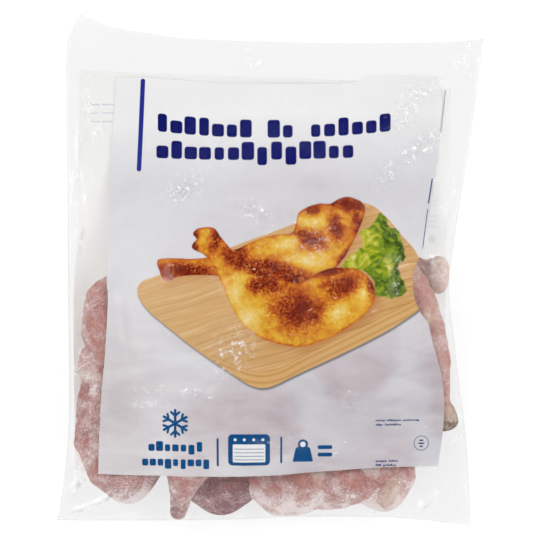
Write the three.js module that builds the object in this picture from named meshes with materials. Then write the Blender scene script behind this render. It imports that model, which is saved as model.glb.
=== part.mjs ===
import * as THREE from "three";
import { mergeVertices } from "three/addons/utils/BufferGeometryUtils.js";

// A clear film bag of frozen raw chicken leg quarters, lying on its back with its printed front up.
// The bag is one closed body: a front sheet pulled down over the ten leg quarters inside, and a
// back sheet that lies flat and rises to meet it round the outline.
// Millimetres. +X is the bag's right, +Y its top end and +Z up. The origin is on the floor, under
// the middle of the bag's outline.

// Driving dimensions of the bag
const bagHalfWidth = 166; // from the middle out to the widest corners
const bagHalfLength = 199;
const columns = 42; // cells across the sheets
const rows = 52; // cells along the sheets
const leastThickness = 1.2; // of the empty film and the air in it
const filmClearance = 1; // between a leg quarter and the film over it
const filmSlump = 0.011; // how fast the front sheet curves down between supports, per millimetre
const sweeps = 1500; // passes that let the front sheet settle

// Heights of the seam where the two sheets meet
const freeEdge = 0.6;
const sideEdge = 19; // beside the leg quarters, halfway up the lower layer
const sideEdgeMiddle = 0.36; // of the bag's length from its bottom end
const sideEdgeSpread = 0.2;
const bottomEdge = 9;
const bottomEdgeSpread = 0.36;
const turnUp = 26; // how far in from the seam the back sheet leaves the floor
const liftedCorner = 9; // the top left corner curls up
const liftedCornerReach = 26;
const flaredCorner = 4; // the bottom right corner stands a little proud
const flaredCornerReach = 22;

// The outline as seen from above: the four edges between the corners
const corners = {
  bottomLeft: [-bagHalfWidth, -195],
  bottomRight: [156, -bagHalfLength],
  topLeft: [-147, bagHalfLength],
  topRight: [bagHalfWidth, 180],
};
const edges = {
  left: [
    corners.bottomLeft, [-161, -166], [-157, -126], [-156, -70], [-157, -14], [-158, 70], [-159, 130],
    [-158, 177], corners.topLeft,
  ],
  right: [
    corners.bottomRight, [154, -154], [150, -112], [147, -93], [142, -50], [139, -20], [141, 9],
    [146, 42], [155, 96], [163, 154], corners.topRight,
  ],
  bottom: [
    corners.bottomLeft, [-98, -195], [-28, -194], [14, -192], [70, -192], [112, -194],
    corners.bottomRight,
  ],
  top: [
    corners.topLeft, [-126, 190], [-98, 185], [-56, 180], [42, 177], [98, 177], [140, 178],
    corners.topRight,
  ],
};

// The leg quarters: hip, knee and ankle points that each one bends along, its size beside a
// large leg quarter's, and how full its knuckle is. The first six lie on the back sheet, the
// others on top of them.
const legQuarters = [
  { hip: [-106, -181, 21], knee: [-141, -28, 22], ankle: [-55, -18, 24], size: 0.93, knuckle: 1 },
  { hip: [-36, -190, 20], knee: [-44, -108, 20], ankle: [28, -82, 20], size: 0.9, knuckle: 1 },
  { hip: [-28, -148, 22], knee: [52, -151, 20], ankle: [99, -175, 26], size: 0.9, knuckle: 1.15 },
  { hip: [92, -187, 20], knee: [66, -78, 20], ankle: [5, -52, 20], size: 0.84, knuckle: 1 },
  { hip: [-13, 94, 20], knee: [78, -2, 20], ankle: [139, -5, 22], size: 0.88, knuckle: 1.45 },
  { hip: [-106, -3, 26], knee: [-139, -70, 26], ankle: [-24, -116, 24], size: 0.95, knuckle: 1 },
  { hip: [19, -130, 50], knee: [-56, -80, 60], ankle: [-72, -193, 16], size: 0.92, knuckle: 0.62 },
  { hip: [-45, -58, 56], knee: [-86, 23, 56], ankle: [23, 45, 40], size: 0.93, knuckle: 1 },
  { hip: [50, -95, 56], knee: [93, -17, 58], ankle: [1, -2, 54], size: 0.93, knuckle: 1 },
  { hip: [30, 14, 44], knee: [122, 4, 40], ankle: [134, -125, 22], size: 0.8, knuckle: 1.3 },
];
const legSlices = 36; // that each leg quarter is worked out from
const sliceReach = 9; // of one slice along the leg quarter, each way
// Half width and half thickness along a large leg quarter, from the hip to the ankle
const legProfile = [
  { along: 0, wide: 20, thick: 13 },
  { along: 0.12, wide: 34, thick: 18 },
  { along: 0.26, wide: 42, thick: 21 },
  { along: 0.42, wide: 36, thick: 20.5 },
  { along: 0.56, wide: 27, thick: 20 },
  { along: 0.72, wide: 22.5, thick: 19 },
  { along: 0.87, wide: 12, thick: 11 },
  { along: 0.95, wide: 14, thick: 12.5 },
  { along: 1, wide: 13, thick: 12 },
];
const roundedHip = 0.12; // of the leg's length that its round ends take
const roundedAnkle = 0.045;
// Where along the leg quarter a fuller or thinner knuckle begins and is complete
const knuckleFrom = 0.84;
const knuckleTo = 0.96;

const splineOf = (points) => new THREE.SplineCurve(points.map(([x, y]) => new THREE.Vector2(x, y)));
const edgeCurves = {
  left: splineOf(edges.left),
  right: splineOf(edges.right),
  bottom: splineOf(edges.bottom),
  top: splineOf(edges.top),
};

// A point of the bag seen from above. across runs 0 to 1 from left to right, along from bottom to
// top: the blend of the four edges that is exact on each of them.
function planPoint(across, along) {
  const left = edgeCurves.left.getPointAt(along);
  const right = edgeCurves.right.getPointAt(along);
  const bottom = edgeCurves.bottom.getPointAt(across);
  const top = edgeCurves.top.getPointAt(across);
  const blend = (axis, index) =>
    (1 - across) * left[axis] +
    across * right[axis] +
    (1 - along) * bottom[axis] +
    along * top[axis] -
    (1 - across) * (1 - along) * corners.bottomLeft[index] -
    across * (1 - along) * corners.bottomRight[index] -
    (1 - across) * along * corners.topLeft[index] -
    across * along * corners.topRight[index];
  return new THREE.Vector2(blend("x", 0), blend("y", 1));
}

const bell = (value, middle, spread) => Math.exp(-(((value - middle) / spread) ** 2));

// A quarter round that falls from 1 at the seam to 0 where the back sheet meets the floor
function quarterRound(fromSeam) {
  const left = Math.max(0, 1 - fromSeam / turnUp);
  return 1 - Math.sqrt(1 - left * left);
}

// Height of the back sheet: on the floor in the middle, up to the seam round the outline
function backHeight(across, along, plan) {
  const side = freeEdge + sideEdge * bell(along, sideEdgeMiddle, sideEdgeSpread);
  const bottom = freeEdge + bottomEdge * bell(across, 0.5, bottomEdgeSpread);
  const width = 2 * bagHalfWidth;
  const length = 2 * bagHalfLength;
  const seams = Math.max(
    side * quarterRound(across * width),
    side * quarterRound((1 - across) * width),
    bottom * quarterRound(along * length),
    freeEdge * quarterRound((1 - along) * length),
  );
  const curl = (corner, height, reach) => {
    const distance = Math.hypot(plan.x - corner[0], plan.y - corner[1]);
    return height * Math.max(0, 1 - distance / (2 * reach)) ** 2;
  };
  const leftCurl = curl(corners.topLeft, liftedCorner, liftedCornerReach);
  const rightFlare = curl(corners.bottomRight, flaredCorner, flaredCornerReach);
  return seams + leftCurl + rightFlare;
}

function profileAt(along) {
  const next = Math.max(1, legProfile.findIndex((knot) => knot.along >= along));
  const from = legProfile[next - 1];
  const to = legProfile[next];
  const share = (along - from.along) / (to.along - from.along);
  const hipEnd = Math.max(0, (roundedHip - along) / roundedHip);
  const ankleEnd = Math.max(0, (along - 1 + roundedAnkle) / roundedAnkle);
  const rounding = Math.sqrt((1 - hipEnd ** 2) * (1 - ankleEnd ** 2));
  return {
    wide: THREE.MathUtils.lerp(from.wide, to.wide, share) * rounding,
    thick: THREE.MathUtils.lerp(from.thick, to.thick, share) * rounding,
  };
}

// Each leg quarter as a row of slices across its bend, each with its direction as seen from above
function slicesOf({ hip, knee, ankle, size, knuckle }) {
  const bend = new THREE.QuadraticBezierCurve3(
    new THREE.Vector3(...hip),
    new THREE.Vector3(...knee),
    new THREE.Vector3(...ankle),
  );
  return Array.from({ length: legSlices }, (_, slice) => {
    const along = (slice + 0.5) / legSlices;
    const { wide, thick } = profileAt(along);
    const nearKnuckle = THREE.MathUtils.smoothstep(along, knuckleFrom, knuckleTo);
    const fullness = size * THREE.MathUtils.lerp(1, knuckle, nearKnuckle);
    const tangent = bend.getTangentAt(along);
    const heading = new THREE.Vector2(tangent.x, tangent.y).normalize();
    return {
      middle: bend.getPointAt(along),
      heading,
      wide: wide * fullness + filmClearance,
      thick: thick * fullness,
    };
  });
}
const slices = legQuarters.flatMap(slicesOf);

// Height of the leg quarters' upper side at a point of the plan, or 0 where there is none
function legTop(plan) {
  return slices.reduce((highest, { middle, heading, wide, thick }) => {
    const offset = new THREE.Vector2(plan.x - middle.x, plan.y - middle.y);
    const along = offset.dot(heading) / sliceReach;
    const sideways = offset.cross(heading) / wide;
    const inside = 1 - along * along - sideways * sideways;
    return inside > 0 ? Math.max(highest, middle.z + thick * Math.sqrt(inside) + filmClearance) : highest;
  }, 0);
}

const indexOf = (column, row) => row * (columns + 1) + column;
const onSeam = (column, row) => column === 0 || row === 0 || column === columns || row === rows;
const grid = [];
for (let row = 0; row <= rows; row++) {
  for (let column = 0; column <= columns; column++) {
    const across = column / columns;
    const along = row / rows;
    const plan = planPoint(across, along);
    const back = backHeight(across, along, plan);
    const seam = onSeam(column, row);
    const support = seam ? back : Math.max(back + leastThickness, legTop(plan));
    grid.push({ plan, back, support, front: support });
  }
}

// The front sheet settles as a film pulled down over what is under it: every point goes to the
// mean of its neighbours less the slump of one cell, and never below its support.
const cell = (bagHalfWidth + bagHalfLength) / ((columns + rows) / 2);
const slump = (filmSlump * cell * cell) / 4;
for (let sweep = 0; sweep < sweeps; sweep++) {
  for (let row = 1; row < rows; row++) {
    for (let column = 1; column < columns; column++) {
      const here = grid[indexOf(column, row)];
      const mean =
        (grid[indexOf(column - 1, row)].front +
          grid[indexOf(column + 1, row)].front +
          grid[indexOf(column, row - 1)].front +
          grid[indexOf(column, row + 1)].front) / 4;
      here.front = Math.max(here.support, mean - slump);
    }
  }
}

// One closed surface from the two sheets. Each cell is split along the diagonal that points from
// its nearest corner of the bag inwards, so that no triangle has all three points on the seam.
function bagGeometry() {
  const frontPoints = grid.map(({ plan, front }) => [plan.x, plan.y, front]);
  const backPoints = grid.map(({ plan, back }) => [plan.x, plan.y, back]);
  const triangles = [];
  for (let row = 0; row < rows; row++) {
    for (let column = 0; column < columns; column++) {
      const a = indexOf(column, row);
      const b = indexOf(column + 1, row);
      const c = indexOf(column + 1, row + 1);
      const d = indexOf(column, row + 1);
      const rising = column < columns / 2 === row < rows / 2;
      const halves = rising ? [[a, b, c], [a, c, d]] : [[a, b, d], [b, c, d]];
      for (const half of halves) {
        triangles.push(...half);
        triangles.push(...half.map((point) => point + grid.length).reverse());
      }
    }
  }
  const geometry = new THREE.BufferGeometry();
  const positions = [...frontPoints, ...backPoints].flat();
  geometry.setAttribute("position", new THREE.Float32BufferAttribute(positions, 3));
  geometry.setIndex(triangles);
  const closed = mergeVertices(geometry, 1e-4);
  closed.computeVertexNormals();
  return closed;
}

const film = new THREE.MeshStandardMaterial({ color: 0xe4dfe3, roughness: 0.25, metalness: 0 });
const bag = new THREE.Mesh(bagGeometry(), film);
bag.name = "bag";

const model = new THREE.Group();
model.add(bag);

export default model;
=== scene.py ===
"""A clear film bag of frozen raw chicken leg quarters, lying on its back with its printed front up.

The file is laid out as a Blender add-on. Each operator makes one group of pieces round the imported
model: the leg quarters, the film over them, the two printed panels and the stage.
Shapes are worked out in millimetres, in the model's frame: +X is the bag's right, +Y its top end
and +Z up. They become metres when a mesh is made.
"""

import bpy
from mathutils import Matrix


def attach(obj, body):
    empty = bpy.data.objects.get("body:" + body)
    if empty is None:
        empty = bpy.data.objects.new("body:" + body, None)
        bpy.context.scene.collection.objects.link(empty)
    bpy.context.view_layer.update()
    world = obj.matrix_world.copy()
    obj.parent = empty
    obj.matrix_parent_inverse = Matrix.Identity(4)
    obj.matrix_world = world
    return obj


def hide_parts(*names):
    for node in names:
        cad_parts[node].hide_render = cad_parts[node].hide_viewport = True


bl_info = {
    "name": "Bag of frozen chicken leg quarters",
    "version": (1, 0, 0),
    "blender": (4, 5, 0),
    "location": "View3D > Sidebar > Chicken bag",
    "description": "Makes a clear film bag of frozen raw chicken leg quarters",
    "category": "Add Mesh",
}

from collections import namedtuple
from functools import lru_cache, reduce

import bpy
import numpy as np
from bpy.props import FloatProperty, FloatVectorProperty, IntProperty, PointerProperty

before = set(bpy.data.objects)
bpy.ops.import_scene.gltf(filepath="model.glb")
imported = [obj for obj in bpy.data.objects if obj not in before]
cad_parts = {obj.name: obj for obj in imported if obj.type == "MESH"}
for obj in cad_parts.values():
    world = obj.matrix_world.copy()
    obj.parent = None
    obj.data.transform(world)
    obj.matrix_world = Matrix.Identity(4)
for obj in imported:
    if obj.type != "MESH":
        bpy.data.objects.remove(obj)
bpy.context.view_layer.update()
BODY = "root"
MM = 0.001

# The outline of the bag and of its two printed panels, as seen from above
BAG_EDGES = {
    "left": [
        (-166, -195), (-161, -166), (-157, -126), (-156, -70), (-157, -14), (-158, 70),
        (-159, 130), (-158, 177), (-147, 199),
    ],
    "right": [
        (156, -199), (154, -154), (150, -112), (147, -93), (142, -50), (139, -20), (141, 9),
        (146, 42), (155, 96), (163, 154), (166, 180),
    ],
    "bottom": [
        (-166, -195), (-98, -195), (-28, -194), (14, -192), (70, -192), (112, -194), (156, -199),
    ],
    "top": [
        (-147, 199), (-126, 190), (-98, 185), (-56, 180), (42, 177), (98, 177), (140, 178),
        (166, 180),
    ],
}
FRONT_PANEL_EDGES = {
    "left": [
        (-132.5, -157), (-132, -140), (-130.5, -101), (-129.5, -85), (-127, -62), (-125, -23),
        (-126, 0), (-124, 86), (-120, 150),
    ],
    "right": [
        (130, -152), (133, -125), (134, -105), (133, -87), (130, -74), (125, -56), (121, -41),
        (115, -32), (110, -18), (110, -2), (116, 13), (120, 23), (123, 39), (127, 62), (130, 86),
        (132, 109), (134, 132), (130, 151),
    ],
    "bottom": [
        (-132.5, -157), (-93, -158.5), (-49, -159), (-2, -158), (41, -155), (87, -152), (130, -152),
    ],
    "top": [
        (-120, 150), (-94, 150), (-43, 146), (23, 145), (62, 146), (82, 152), (130, 151),
    ],
}
BACK_PANEL_EDGES = {
    "left": [(-152, -156), (-153, -30), (-151, 20), (-150, 60), (-149, 110), (-149, 156)],
    "right": [(132, -154), (134.5, -125), (136, -60), (137, 5), (138, 40), (139.5, 90), (141, 141)],
    "bottom": [(-152, -156), (0, -157), (132, -154)],
    "top": [(-149, 156), (-60, 152), (60, 148), (141, 141)],
}

# Heights of the seam, and how the back sheet leaves the floor
FREE_EDGE = 0.6
SIDE_EDGE, SIDE_EDGE_MIDDLE, SIDE_EDGE_SPREAD = 19.0, 0.36, 0.2
BOTTOM_EDGE, BOTTOM_EDGE_SPREAD = 9.0, 0.36
TURN_UP = 26.0
LIFTED_CORNERS = [((-147, 199), 9.0, 26.0), ((156, -199), 4.0, 22.0)]
BAG_WIDTH, BAG_LENGTH = 332.0, 398.0

# The leg quarters: hip, knee and ankle points, size beside a large one's, how red the meat is,
# how much frost lies on it, how full its knuckle is and how brown the knuckle has gone
Leg = namedtuple("Leg", "hip knee ankle size red frost knuckle brown")
LEG_QUARTERS = [Leg(*row) for row in (
    ((-106, -181, 21), (-141, -28, 22), (-55, -18, 24), 0.93, 0.80, 0.46, 1.0, 0.0),
    # This leg quarter's high redness turns it to dark meat, which also stands in for the painted
    # shade of the hollow it lies in
    ((-36, -190, 20), (-44, -108, 20), (28, -82, 20), 0.90, 1.10, 0.12, 1.0, 0.0),
    ((-28, -148, 22), (52, -151, 20), (99, -175, 26), 0.90, 0.72, 0.30, 1.15, 0.30),
    ((92, -187, 20), (66, -78, 20), (5, -52, 20), 0.84, 0.50, 0.50, 1.0, 0.0),
    ((-13, 94, 20), (78, -2, 20), (139, -5, 22), 0.88, 0.60, 0.70, 1.45, 0.0),
    ((-106, -3, 26), (-139, -70, 26), (-24, -116, 24), 0.95, 0.75, 0.34, 1.0, 0.0),
    ((19, -130, 50), (-56, -80, 60), (-72, -193, 16), 0.92, 0.85, 0.30, 0.62, 0.0),
    ((-45, -58, 56), (-86, 23, 56), (23, 45, 40), 0.93, 0.50, 0.40, 1.0, 0.0),
    ((50, -95, 56), (93, -17, 58), (1, -2, 54), 0.93, 0.50, 0.40, 1.0, 0.0),
    ((30, 14, 44), (122, 4, 40), (134, -125, 22), 0.80, 0.45, 0.30, 1.3, 1.0),
)]
# Share of the way from hip to ankle, half width and half thickness of a large leg quarter
LEG_PROFILE = np.array([
    (0.00, 20.0, 13.0),
    (0.12, 34.0, 18.0),
    (0.26, 42.0, 21.0),
    (0.42, 36.0, 20.5),
    (0.56, 27.0, 20.0),
    (0.72, 22.5, 19.0),
    (0.87, 12.0, 11.0),
    (0.95, 14.0, 12.5),
    (1.00, 13.0, 12.0),
])
# Shares of its length over which a leg quarter's two ends are rounded
ROUNDED_HIP, ROUNDED_ANKLE = 0.12, 0.045
# Where the meat of a leg quarter bulges on one side: side, share of its length, spread, height
BULGES = {1: (-1, 0.555, 0.075, 11.5), 3: (1, 0.50, 0.28, 9.0)}
NO_BULGE = (1, 0.5, 1.0, 0.0)
# Share of its length where a leg quarter's knuckle begins, and where it has its own fullness
KNUCKLE_FROM, KNUCKLE_TO = 0.84, 0.96
# Slices of a leg quarter that hold the film up, how far each reaches along it, the rings of its
# mesh and the points round a ring, and the room that is kept between it and the film
SLICES, SLICE_REACH = 60, 9.0
RINGS, RING_POINTS = 150, 96
FILM_GAP = 0.75

# How the film settles: how coarse each grid is and how often it is swept, and the least room
# between the sheets
SETTLING = ((8, 500), (4, 300), (2, 200), (1, 160))
LEAST_ROOM = 1.2
# Steps of a curve and of an outline between two of their points, and of a leg quarter's bend
CURVE_STEPS, OUTLINE_STEPS, LEG_STEPS = 60, 6, 400
# Steps of the search for where a point lies on the bag, and what a miss is divided by
SEARCH_STEPS, SEARCH_SIZES = 14, (0.94 * BAG_WIDTH, 0.96 * BAG_LENGTH)
# A crease's sway beside its length, its waves, and the power that sharpens its bell
CREASE_SWAY, CREASE_WAVES, CREASE_POWER = 0.06, 3.1, 1.5
# Sizes of the film's crinkles, hanging folds and taut folds
CRINKLE_SIZES, DRAPE_SIZES, TAUT_SIZE = (7.0, 3.4), (34.0, 22.0), 8.0
# The part of the plan that the front panel covers, from its faded edge to its full one
PANEL_SPAN = {"left": (-137, -129), "right": (134, 126), "bottom": (-162, -156), "top": (153, 147)}
# The way that a fold leans when it catches the light; the film's painted fold light and shade follow
# it
UPPER_LEFT = (-0.7, 0.7, 0.0)
# Both prints: gap from the film, cells across and along, and 1 or -1 for facing up or down
FRONT_PANEL = (-0.25, 200, 236, 1)
BACK_PANEL = (0.15, 120, 140, -1)
# Distance over which meat behind the print fades, the height that stands for no meat, and how
# often the result is blurred
MEAT_FADE, NO_MEAT, BLUR_PASSES = 9.0, -60.0, 14

# Creases pressed into the film: start, end, half width and height
CREASES = [
    ((-156, 132), (-156, 10), 1.6, 1.2),
    ((-152, 150), (-152, -8), 1.8, -1.2),
    ((-149, 60), (-150, -40), 1.5, 1.0),
    ((-146, 145), (-141, 118), 1.8, 1.4),
    ((-141, 118), (-136, 104), 1.8, 1.4),
    ((-136, 104), (-122, 100), 1.8, 1.2),
    ((-160, -188), (-118, -170), 2.2, 1.8),
    ((-158, -178), (-134, -142), 2.2, 1.5),
    ((-150, -187), (-106, -189), 1.6, 1.0),
    ((-148, -182), (-116, -184), 1.6, -0.8),
    ((-88, -183), (-60, -191), 1.8, 1.2),
    ((-119, -23), (-111, -58), 2.8, 2.0),
    ((-111, -58), (-106, -74), 2.8, 1.6),
    ((137, -10), (108, 22), 3.0, 1.8),
    ((138, -18), (104, -20), 3.0, -1.4),
    ((139, -26), (110, -50), 3.0, 1.6),
    ((114, 80), (101, 32), 3.4, -1.8),
    ((121, 72), (110, 18), 2.6, 1.6),
    ((126, 64), (119, 6), 2.2, -1.2),
    ((150, -190), (118, -160), 2.4, 1.8),
    ((153, -180), (140, -130), 2.2, 1.2),
    ((86, 172), (110, 150), 2.6, 1.2),
    ((52, 148), (66, 118), 4.0, 1.0),
    ((-60, 110), (-20, 70), 5.0, 1.2),
    ((20, 110), (48, 70), 5.0, -1.2),
    ((70, 120), (84, 76), 4.0, 1.2),
    ((-112, 88), (-84, 46), 4.5, -1.4),
    ((-130, -20), (-154, -40), 1.8, 1.2),
    ((-136, -70), (-155, -84), 1.8, 1.2),
    ((-140, -160), (-158, -170), 1.8, 1.0),
    ((-20, -166), (-24, -190), 2.0, 1.2),
    ((40, -168), (44, -190), 2.0, 1.2),
    ((112, -150), (116, -188), 2.4, 1.6),
    ((135, -100), (42, -104), 4.0, 1.4),
    ((136, -92), (60, -84), 3.6, -1.2),
    ((134, -110), (80, -124), 3.6, -1.2),
    ((132, -84), (70, -62), 3.4, 1.2),
    ((40, -106), (-20, -112), 4.5, 1.0),
    ((-133, -104), (-118, -122), 2.2, 0.9),
    ((-133, -112), (-112, -134), 2.2, -0.8),
    ((-134, -122), (-116, -148), 2.2, 0.9),
    ((-110, 60), (-114, 10), 3.2, 1.3),
    ((-114, 10), (-104, -54), 3.0, 1.5),
    ((-44, 118), (26, 112), 5.0, 1.2),
    ((-30, 108), (40, 106), 4.0, -1.0),
    ((112, -184), (134, -174), 3.0, 1.8),
    ((110, -188), (128, -182), 2.4, -1.4),
    ((-151, -62), (-153, -130), 1.8, 1.8),
    ((-146, -78), (-148, -112), 1.8, -1.2),
    ((-153, -131), (-134, -144), 1.6, 1.6),
    ((-157, -136), (-140, -170), 1.8, 1.5),
    ((-150, -40), (-147, -66), 2.6, 1.6),
    ((139, -30), (146, -102), 1.3, 1.4),
    ((143, -44), (149, -106), 1.3, -1.2),
    ((136, -128), (142, -180), 1.6, 1.0),
    ((-146, 190), (-126, 172), 2.4, 1.2),
    ((-150, 176), (-140, 150), 2.0, -1.2),
]
# Patches of small crinkles: middle, half length and half width, turn in degrees, height
CRINKLES = [
    ((-66, 62), (15, 11), 40, 0.9),
    ((-70, 60), (7, 4), 30, 0.8),
    ((-12, 45), (11, 7), -30, 1.3),
    ((-94, -98), (17, 12), 20, 0.5),
    ((-29, -62), (17, 12), 60, 1.1),
    ((-62, -93), (8, 5), 0, 0.8),
    ((152, 164), (17, 13), 60, 0.5),
    ((-12, 164), (8, 6), 90, 0.9),
    ((118, 96), (18, 5), 45, 1.6),
    ((96, 78), (22, 6), 50, 1.0),
    ((104, 122), (12, 8), 60, 1.2),
    ((118, 140), (14, 7), 10, 1.1),
    ((60, -100), (20, 10), -20, 0.4),
    ((10, -130), (18, 8), 10, 0.4),
    ((-150, -150), (18, 6), 70, 0.35),
    ((146, -120), (14, 5), 85, 1.0),
    ((-143, 132), (7, 9), 90, 0.9),
    ((-136, 106), (9, 5), 60, 0.9),
    ((124, 10), (10, 7), 30, 0.9),
    ((30, 20), (20, 14), 35, 0.4),
]

# The picture on the front panel: closed outlines, clockwise, of a board, two roasts and a leaf
BOARD_FAR_EDGE = [
    (-101, -12), (-97, -8), (-87, -4.5), (20, 36), (61, 51), (73, 52), (84, 46), (102, 25.5),
    (113, 11), (118, 0),
]
BOARD = BOARD_FAR_EDGE + [
    (118, -24), (112, -32), (84, -49), (15, -82.5), (2, -88.5), (-7, -90), (-15, -88),
    (-24, -83), (-53, -63.5), (-84, -39), (-96, -28), (-101.5, -19),
]
BOARD_TOP = BOARD_FAR_EDGE + [
    (118, -14), (112, -23), (84, -37), (20, -69), (8, -75.5), (-6, -78.5), (-20, -76),
    (-53, -61.5), (-84, -38), (-96, -27), (-101.5, -18),
]
FRONT_ROAST = [
    (-59, 28), (-54, 32), (-43, 32), (-37, 24.5), (-25, 11.5), (-6, 2.5), (12, -8), (21, -10),
    (28, -7.5), (35, -2.5), (45, 1.5), (58, 2), (68, 0), (76, -7), (80, -16), (78, -26),
    (60, -43), (34, -56), (18, -58.5), (-8.5, -51), (-25, -35.5), (-39, -5), (-44, 5),
    (-51, 12), (-59.5, 16.5), (-58.5, 21), (-56, 23),
]
BACK_ROAST = [
    (-87, 7), (-82.5, 9), (-50, 9), (-30, 14), (-10, 23), (4, 27), (17, 29), (20, 37), (22, 44),
    (28, 48), (37, 51), (46, 51), (53, 55), (61, 56.5), (69, 54), (73.5, 48), (66.5, 28),
    (57.5, 11), (50, 2), (30, -15), (0, -15), (-40, -4.5), (-71, -5), (-77, -8.5), (-82, -7),
    (-85, 0),
]
LEAF = [
    (85, 44), (89, 39.5), (91.5, 33), (98, 31), (100.5, 23), (103, 15.5), (103, 8), (98, 4),
    (100.5, -6), (104, -14), (102, -19), (94, -21.5), (84, -20), (79.5, -19), (80, -11),
    (75, -3.5), (69, 0), (56, 2.5), (60, 10), (67.5, 15.5), (71.5, 22), (69, 29.5), (76.5, 33),
    (81.5, 39.5),
]
# The distances that the picture is drawn from: an outline and how far its shade is moved
PICTURE_SHAPES = {
    "board": (BOARD, (0, 0)), "board_top": (BOARD_TOP, (0, 0)),
    "board_shade": (BOARD, (-0.6, 1.7)), "front": (FRONT_ROAST, (0, 0)),
    "front_shade": (FRONT_ROAST, (-5.0, 3.5)), "back": (BACK_ROAST, (0, 0)),
    "back_shade": (BACK_ROAST, (-3.0, 4.0)), "leaf": (LEAF, (0, 0)),
}
# Soft spots in it, where a roast is browned or pale and the leaf pale or dark: middle, half
# length and half width, turn in degrees
SPOTS = {
    "front_browned": [
        ((22, -30.5), (17, 13), 0), ((24, -30), (9, 7), 0), ((55, -12), (13, 7), 18),
        ((-13, 1), (22, 4.5), -27), ((-5, -11.5), (13, 6), 0), ((44, -1), (14, 3.5), 5),
        ((77, -11), (3.5, 9), 0), ((-41, 24), (4.5, 10), -20), ((-57.5, 27), (2.5, 4), 0),
        ((-58, 18), (2.5, 4), 0), ((-28, 8), (11, 4), -45),
    ],
    "front_pale": [
        ((-25, -15), (6, 14), -22), ((-17, -37), (9, 10), -30), ((72, -17), (5, 7), 0),
        ((50, -33), (10, 5), 35),
    ],
    "back_browned": [
        ((33, 46), (6, 4.5), 20), ((50, 34), (5, 10), 10), ((30, 25), (10, 6), -20),
        ((61, 51), (14, 5), -5), ((1, 2), (21, 5), -8), ((15, -6), (15, 6), 0),
        ((-23, 13), (5, 5), 30), ((57, 9), (3.5, 9), -30), ((-66, 0), (20, 5), 0),
        ((-77, -3), (4, 4.5), 0), ((68, 34), (4, 12), 10),
    ],
    "back_pale": [((33, 38), (12, 6), 0), ((14, 21), (11, 4), 20), ((28, 7), (13, 6), 0)],
    "leaf_pale": [((75, 22), (8, 13), -20), ((66, 10), (9, 6), 20), ((88, 0), (5, 9), -30)],
    "leaf_dark": [((88, 33), (3, 8), 0), ((84, -8), (9, 6), 10), ((100, 12), (4, 10), 0)],
}
SPOT_SPREAD = 1.1

# Rows of blocks on the front panel: start, cells, height, cell width, empty cells, seed and sag
TITLE_ROWS = [
    ((-89.5, 113.4), 17, 10.0, 10.85, [7, 10], 5.1, 6.0),
    ((-89.5, 92.2), 14, 10.0, 11.1, [], 2.7, 2.2),
]
SMALL_ROWS = [((-94.4, -136.4), 7, 5.4, 6.2, [], 2.2), ((-99.2, -147.8), 9, 5.4, 5.9, [], 7.9)]
NOTE_ROWS = [
    ((81.0, -115.6), 24, 1.1, 1.40, [5, 14], 3.1),
    ((81.0, -119.0), 14, 1.1, 1.40, [4], 4.4),
    ((81.0, -147.2), 12, 1.1, 1.45, [6], 8.2),
    ((81.0, -150.4), 11, 1.1, 1.45, [3], 6.1),
]
# The upright lines beside the pictograms: middle and half size
UPRIGHT_LINES = [((-40.2, -139.4), (0.8, 11.0)), ((8.4, -137.6), (0.8, 10.4))]
# How far a block may reach past its row and how round it is, beside its height, and how much
# larger than its half sizes a box is
BLOCK_REACH, BLOCK_CORNER, BOX_SPARE = 0.42, 0.24, 0.02
# Painted shade on the front panel's white ink, from its bottom to its top
PANEL_SHADE = (
    (0.0, 0.46), (0.08, 0.52), (0.16, 0.66), (0.25, 0.56), (0.40, 0.48), (0.55, 0.50),
    (0.70, 0.60), (0.80, 0.32), (0.88, 0.06), (1.0, 0.0),
)

# The stage: the floor's half size and level, the sky from below to above, and the camera
FLOOR_SIZE, FLOOR_LEVEL = 4.0, -0.0004
FLOOR_CORNERS = ((-1, -1), (1, -1), (1, 1), (-1, 1))
SKY_LEVELS = ((0.0, 0.95), (0.2, 1.0), (0.62, 1.0), (0.92, 0.3), (1.0, 0.12))
SENSOR_WIDTH, CAMERA_X, CAMERA_REACH = 36.0, -0.0002, 20.0
LOW_LIGHT = 0.4


def cell_setting(name, description, default, high):
    """A setting for how many cells a sheet has one way."""
    return IntProperty(name=name, description=description, default=default, min=20, max=high)


def number_setting(name, description, default, low, high, **more):
    """A number setting between two limits."""
    return FloatProperty(
        name=name, description=description, default=default, min=low, max=high, **more
    )


def share_setting(name, description, default, high=1.0):
    """A setting that is a share or a factor."""
    return number_setting(name, description, default, 0.0, high, subtype="FACTOR")


def colour_setting(name, description, default):
    """A colour setting."""
    return FloatVectorProperty(
        name=name, description=description, default=default, min=0.0, max=1.0, subtype="COLOR"
    )


class ChickenBagFilm(bpy.types.PropertyGroup):
    """Sizes and looks of the bag's clear film."""

    columns: cell_setting("Columns", "Cells across each sheet of film", 200, 220)
    rows: cell_setting("Rows", "Cells along each sheet of film", 240, 240)
    slump: number_setting(
        "Slump", "How fast the film curves down between supports, per millimetre", 0.011, 0.002,
        0.05,
    )
    clearance: number_setting(
        "Clearance", "From a leg quarter to the film over it, in millimetres", 1.0, 0.5, 3.0
    )
    wrinkle: share_setting("Wrinkles", "Height of the film's creases beside the real ones", 1.0, 2.0)
    haze: share_setting("Haze", "How white the clear film is", 0.001)
    tint: colour_setting("Tint", "What the clear film lets through", (0.945, 0.946, 0.946))


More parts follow.
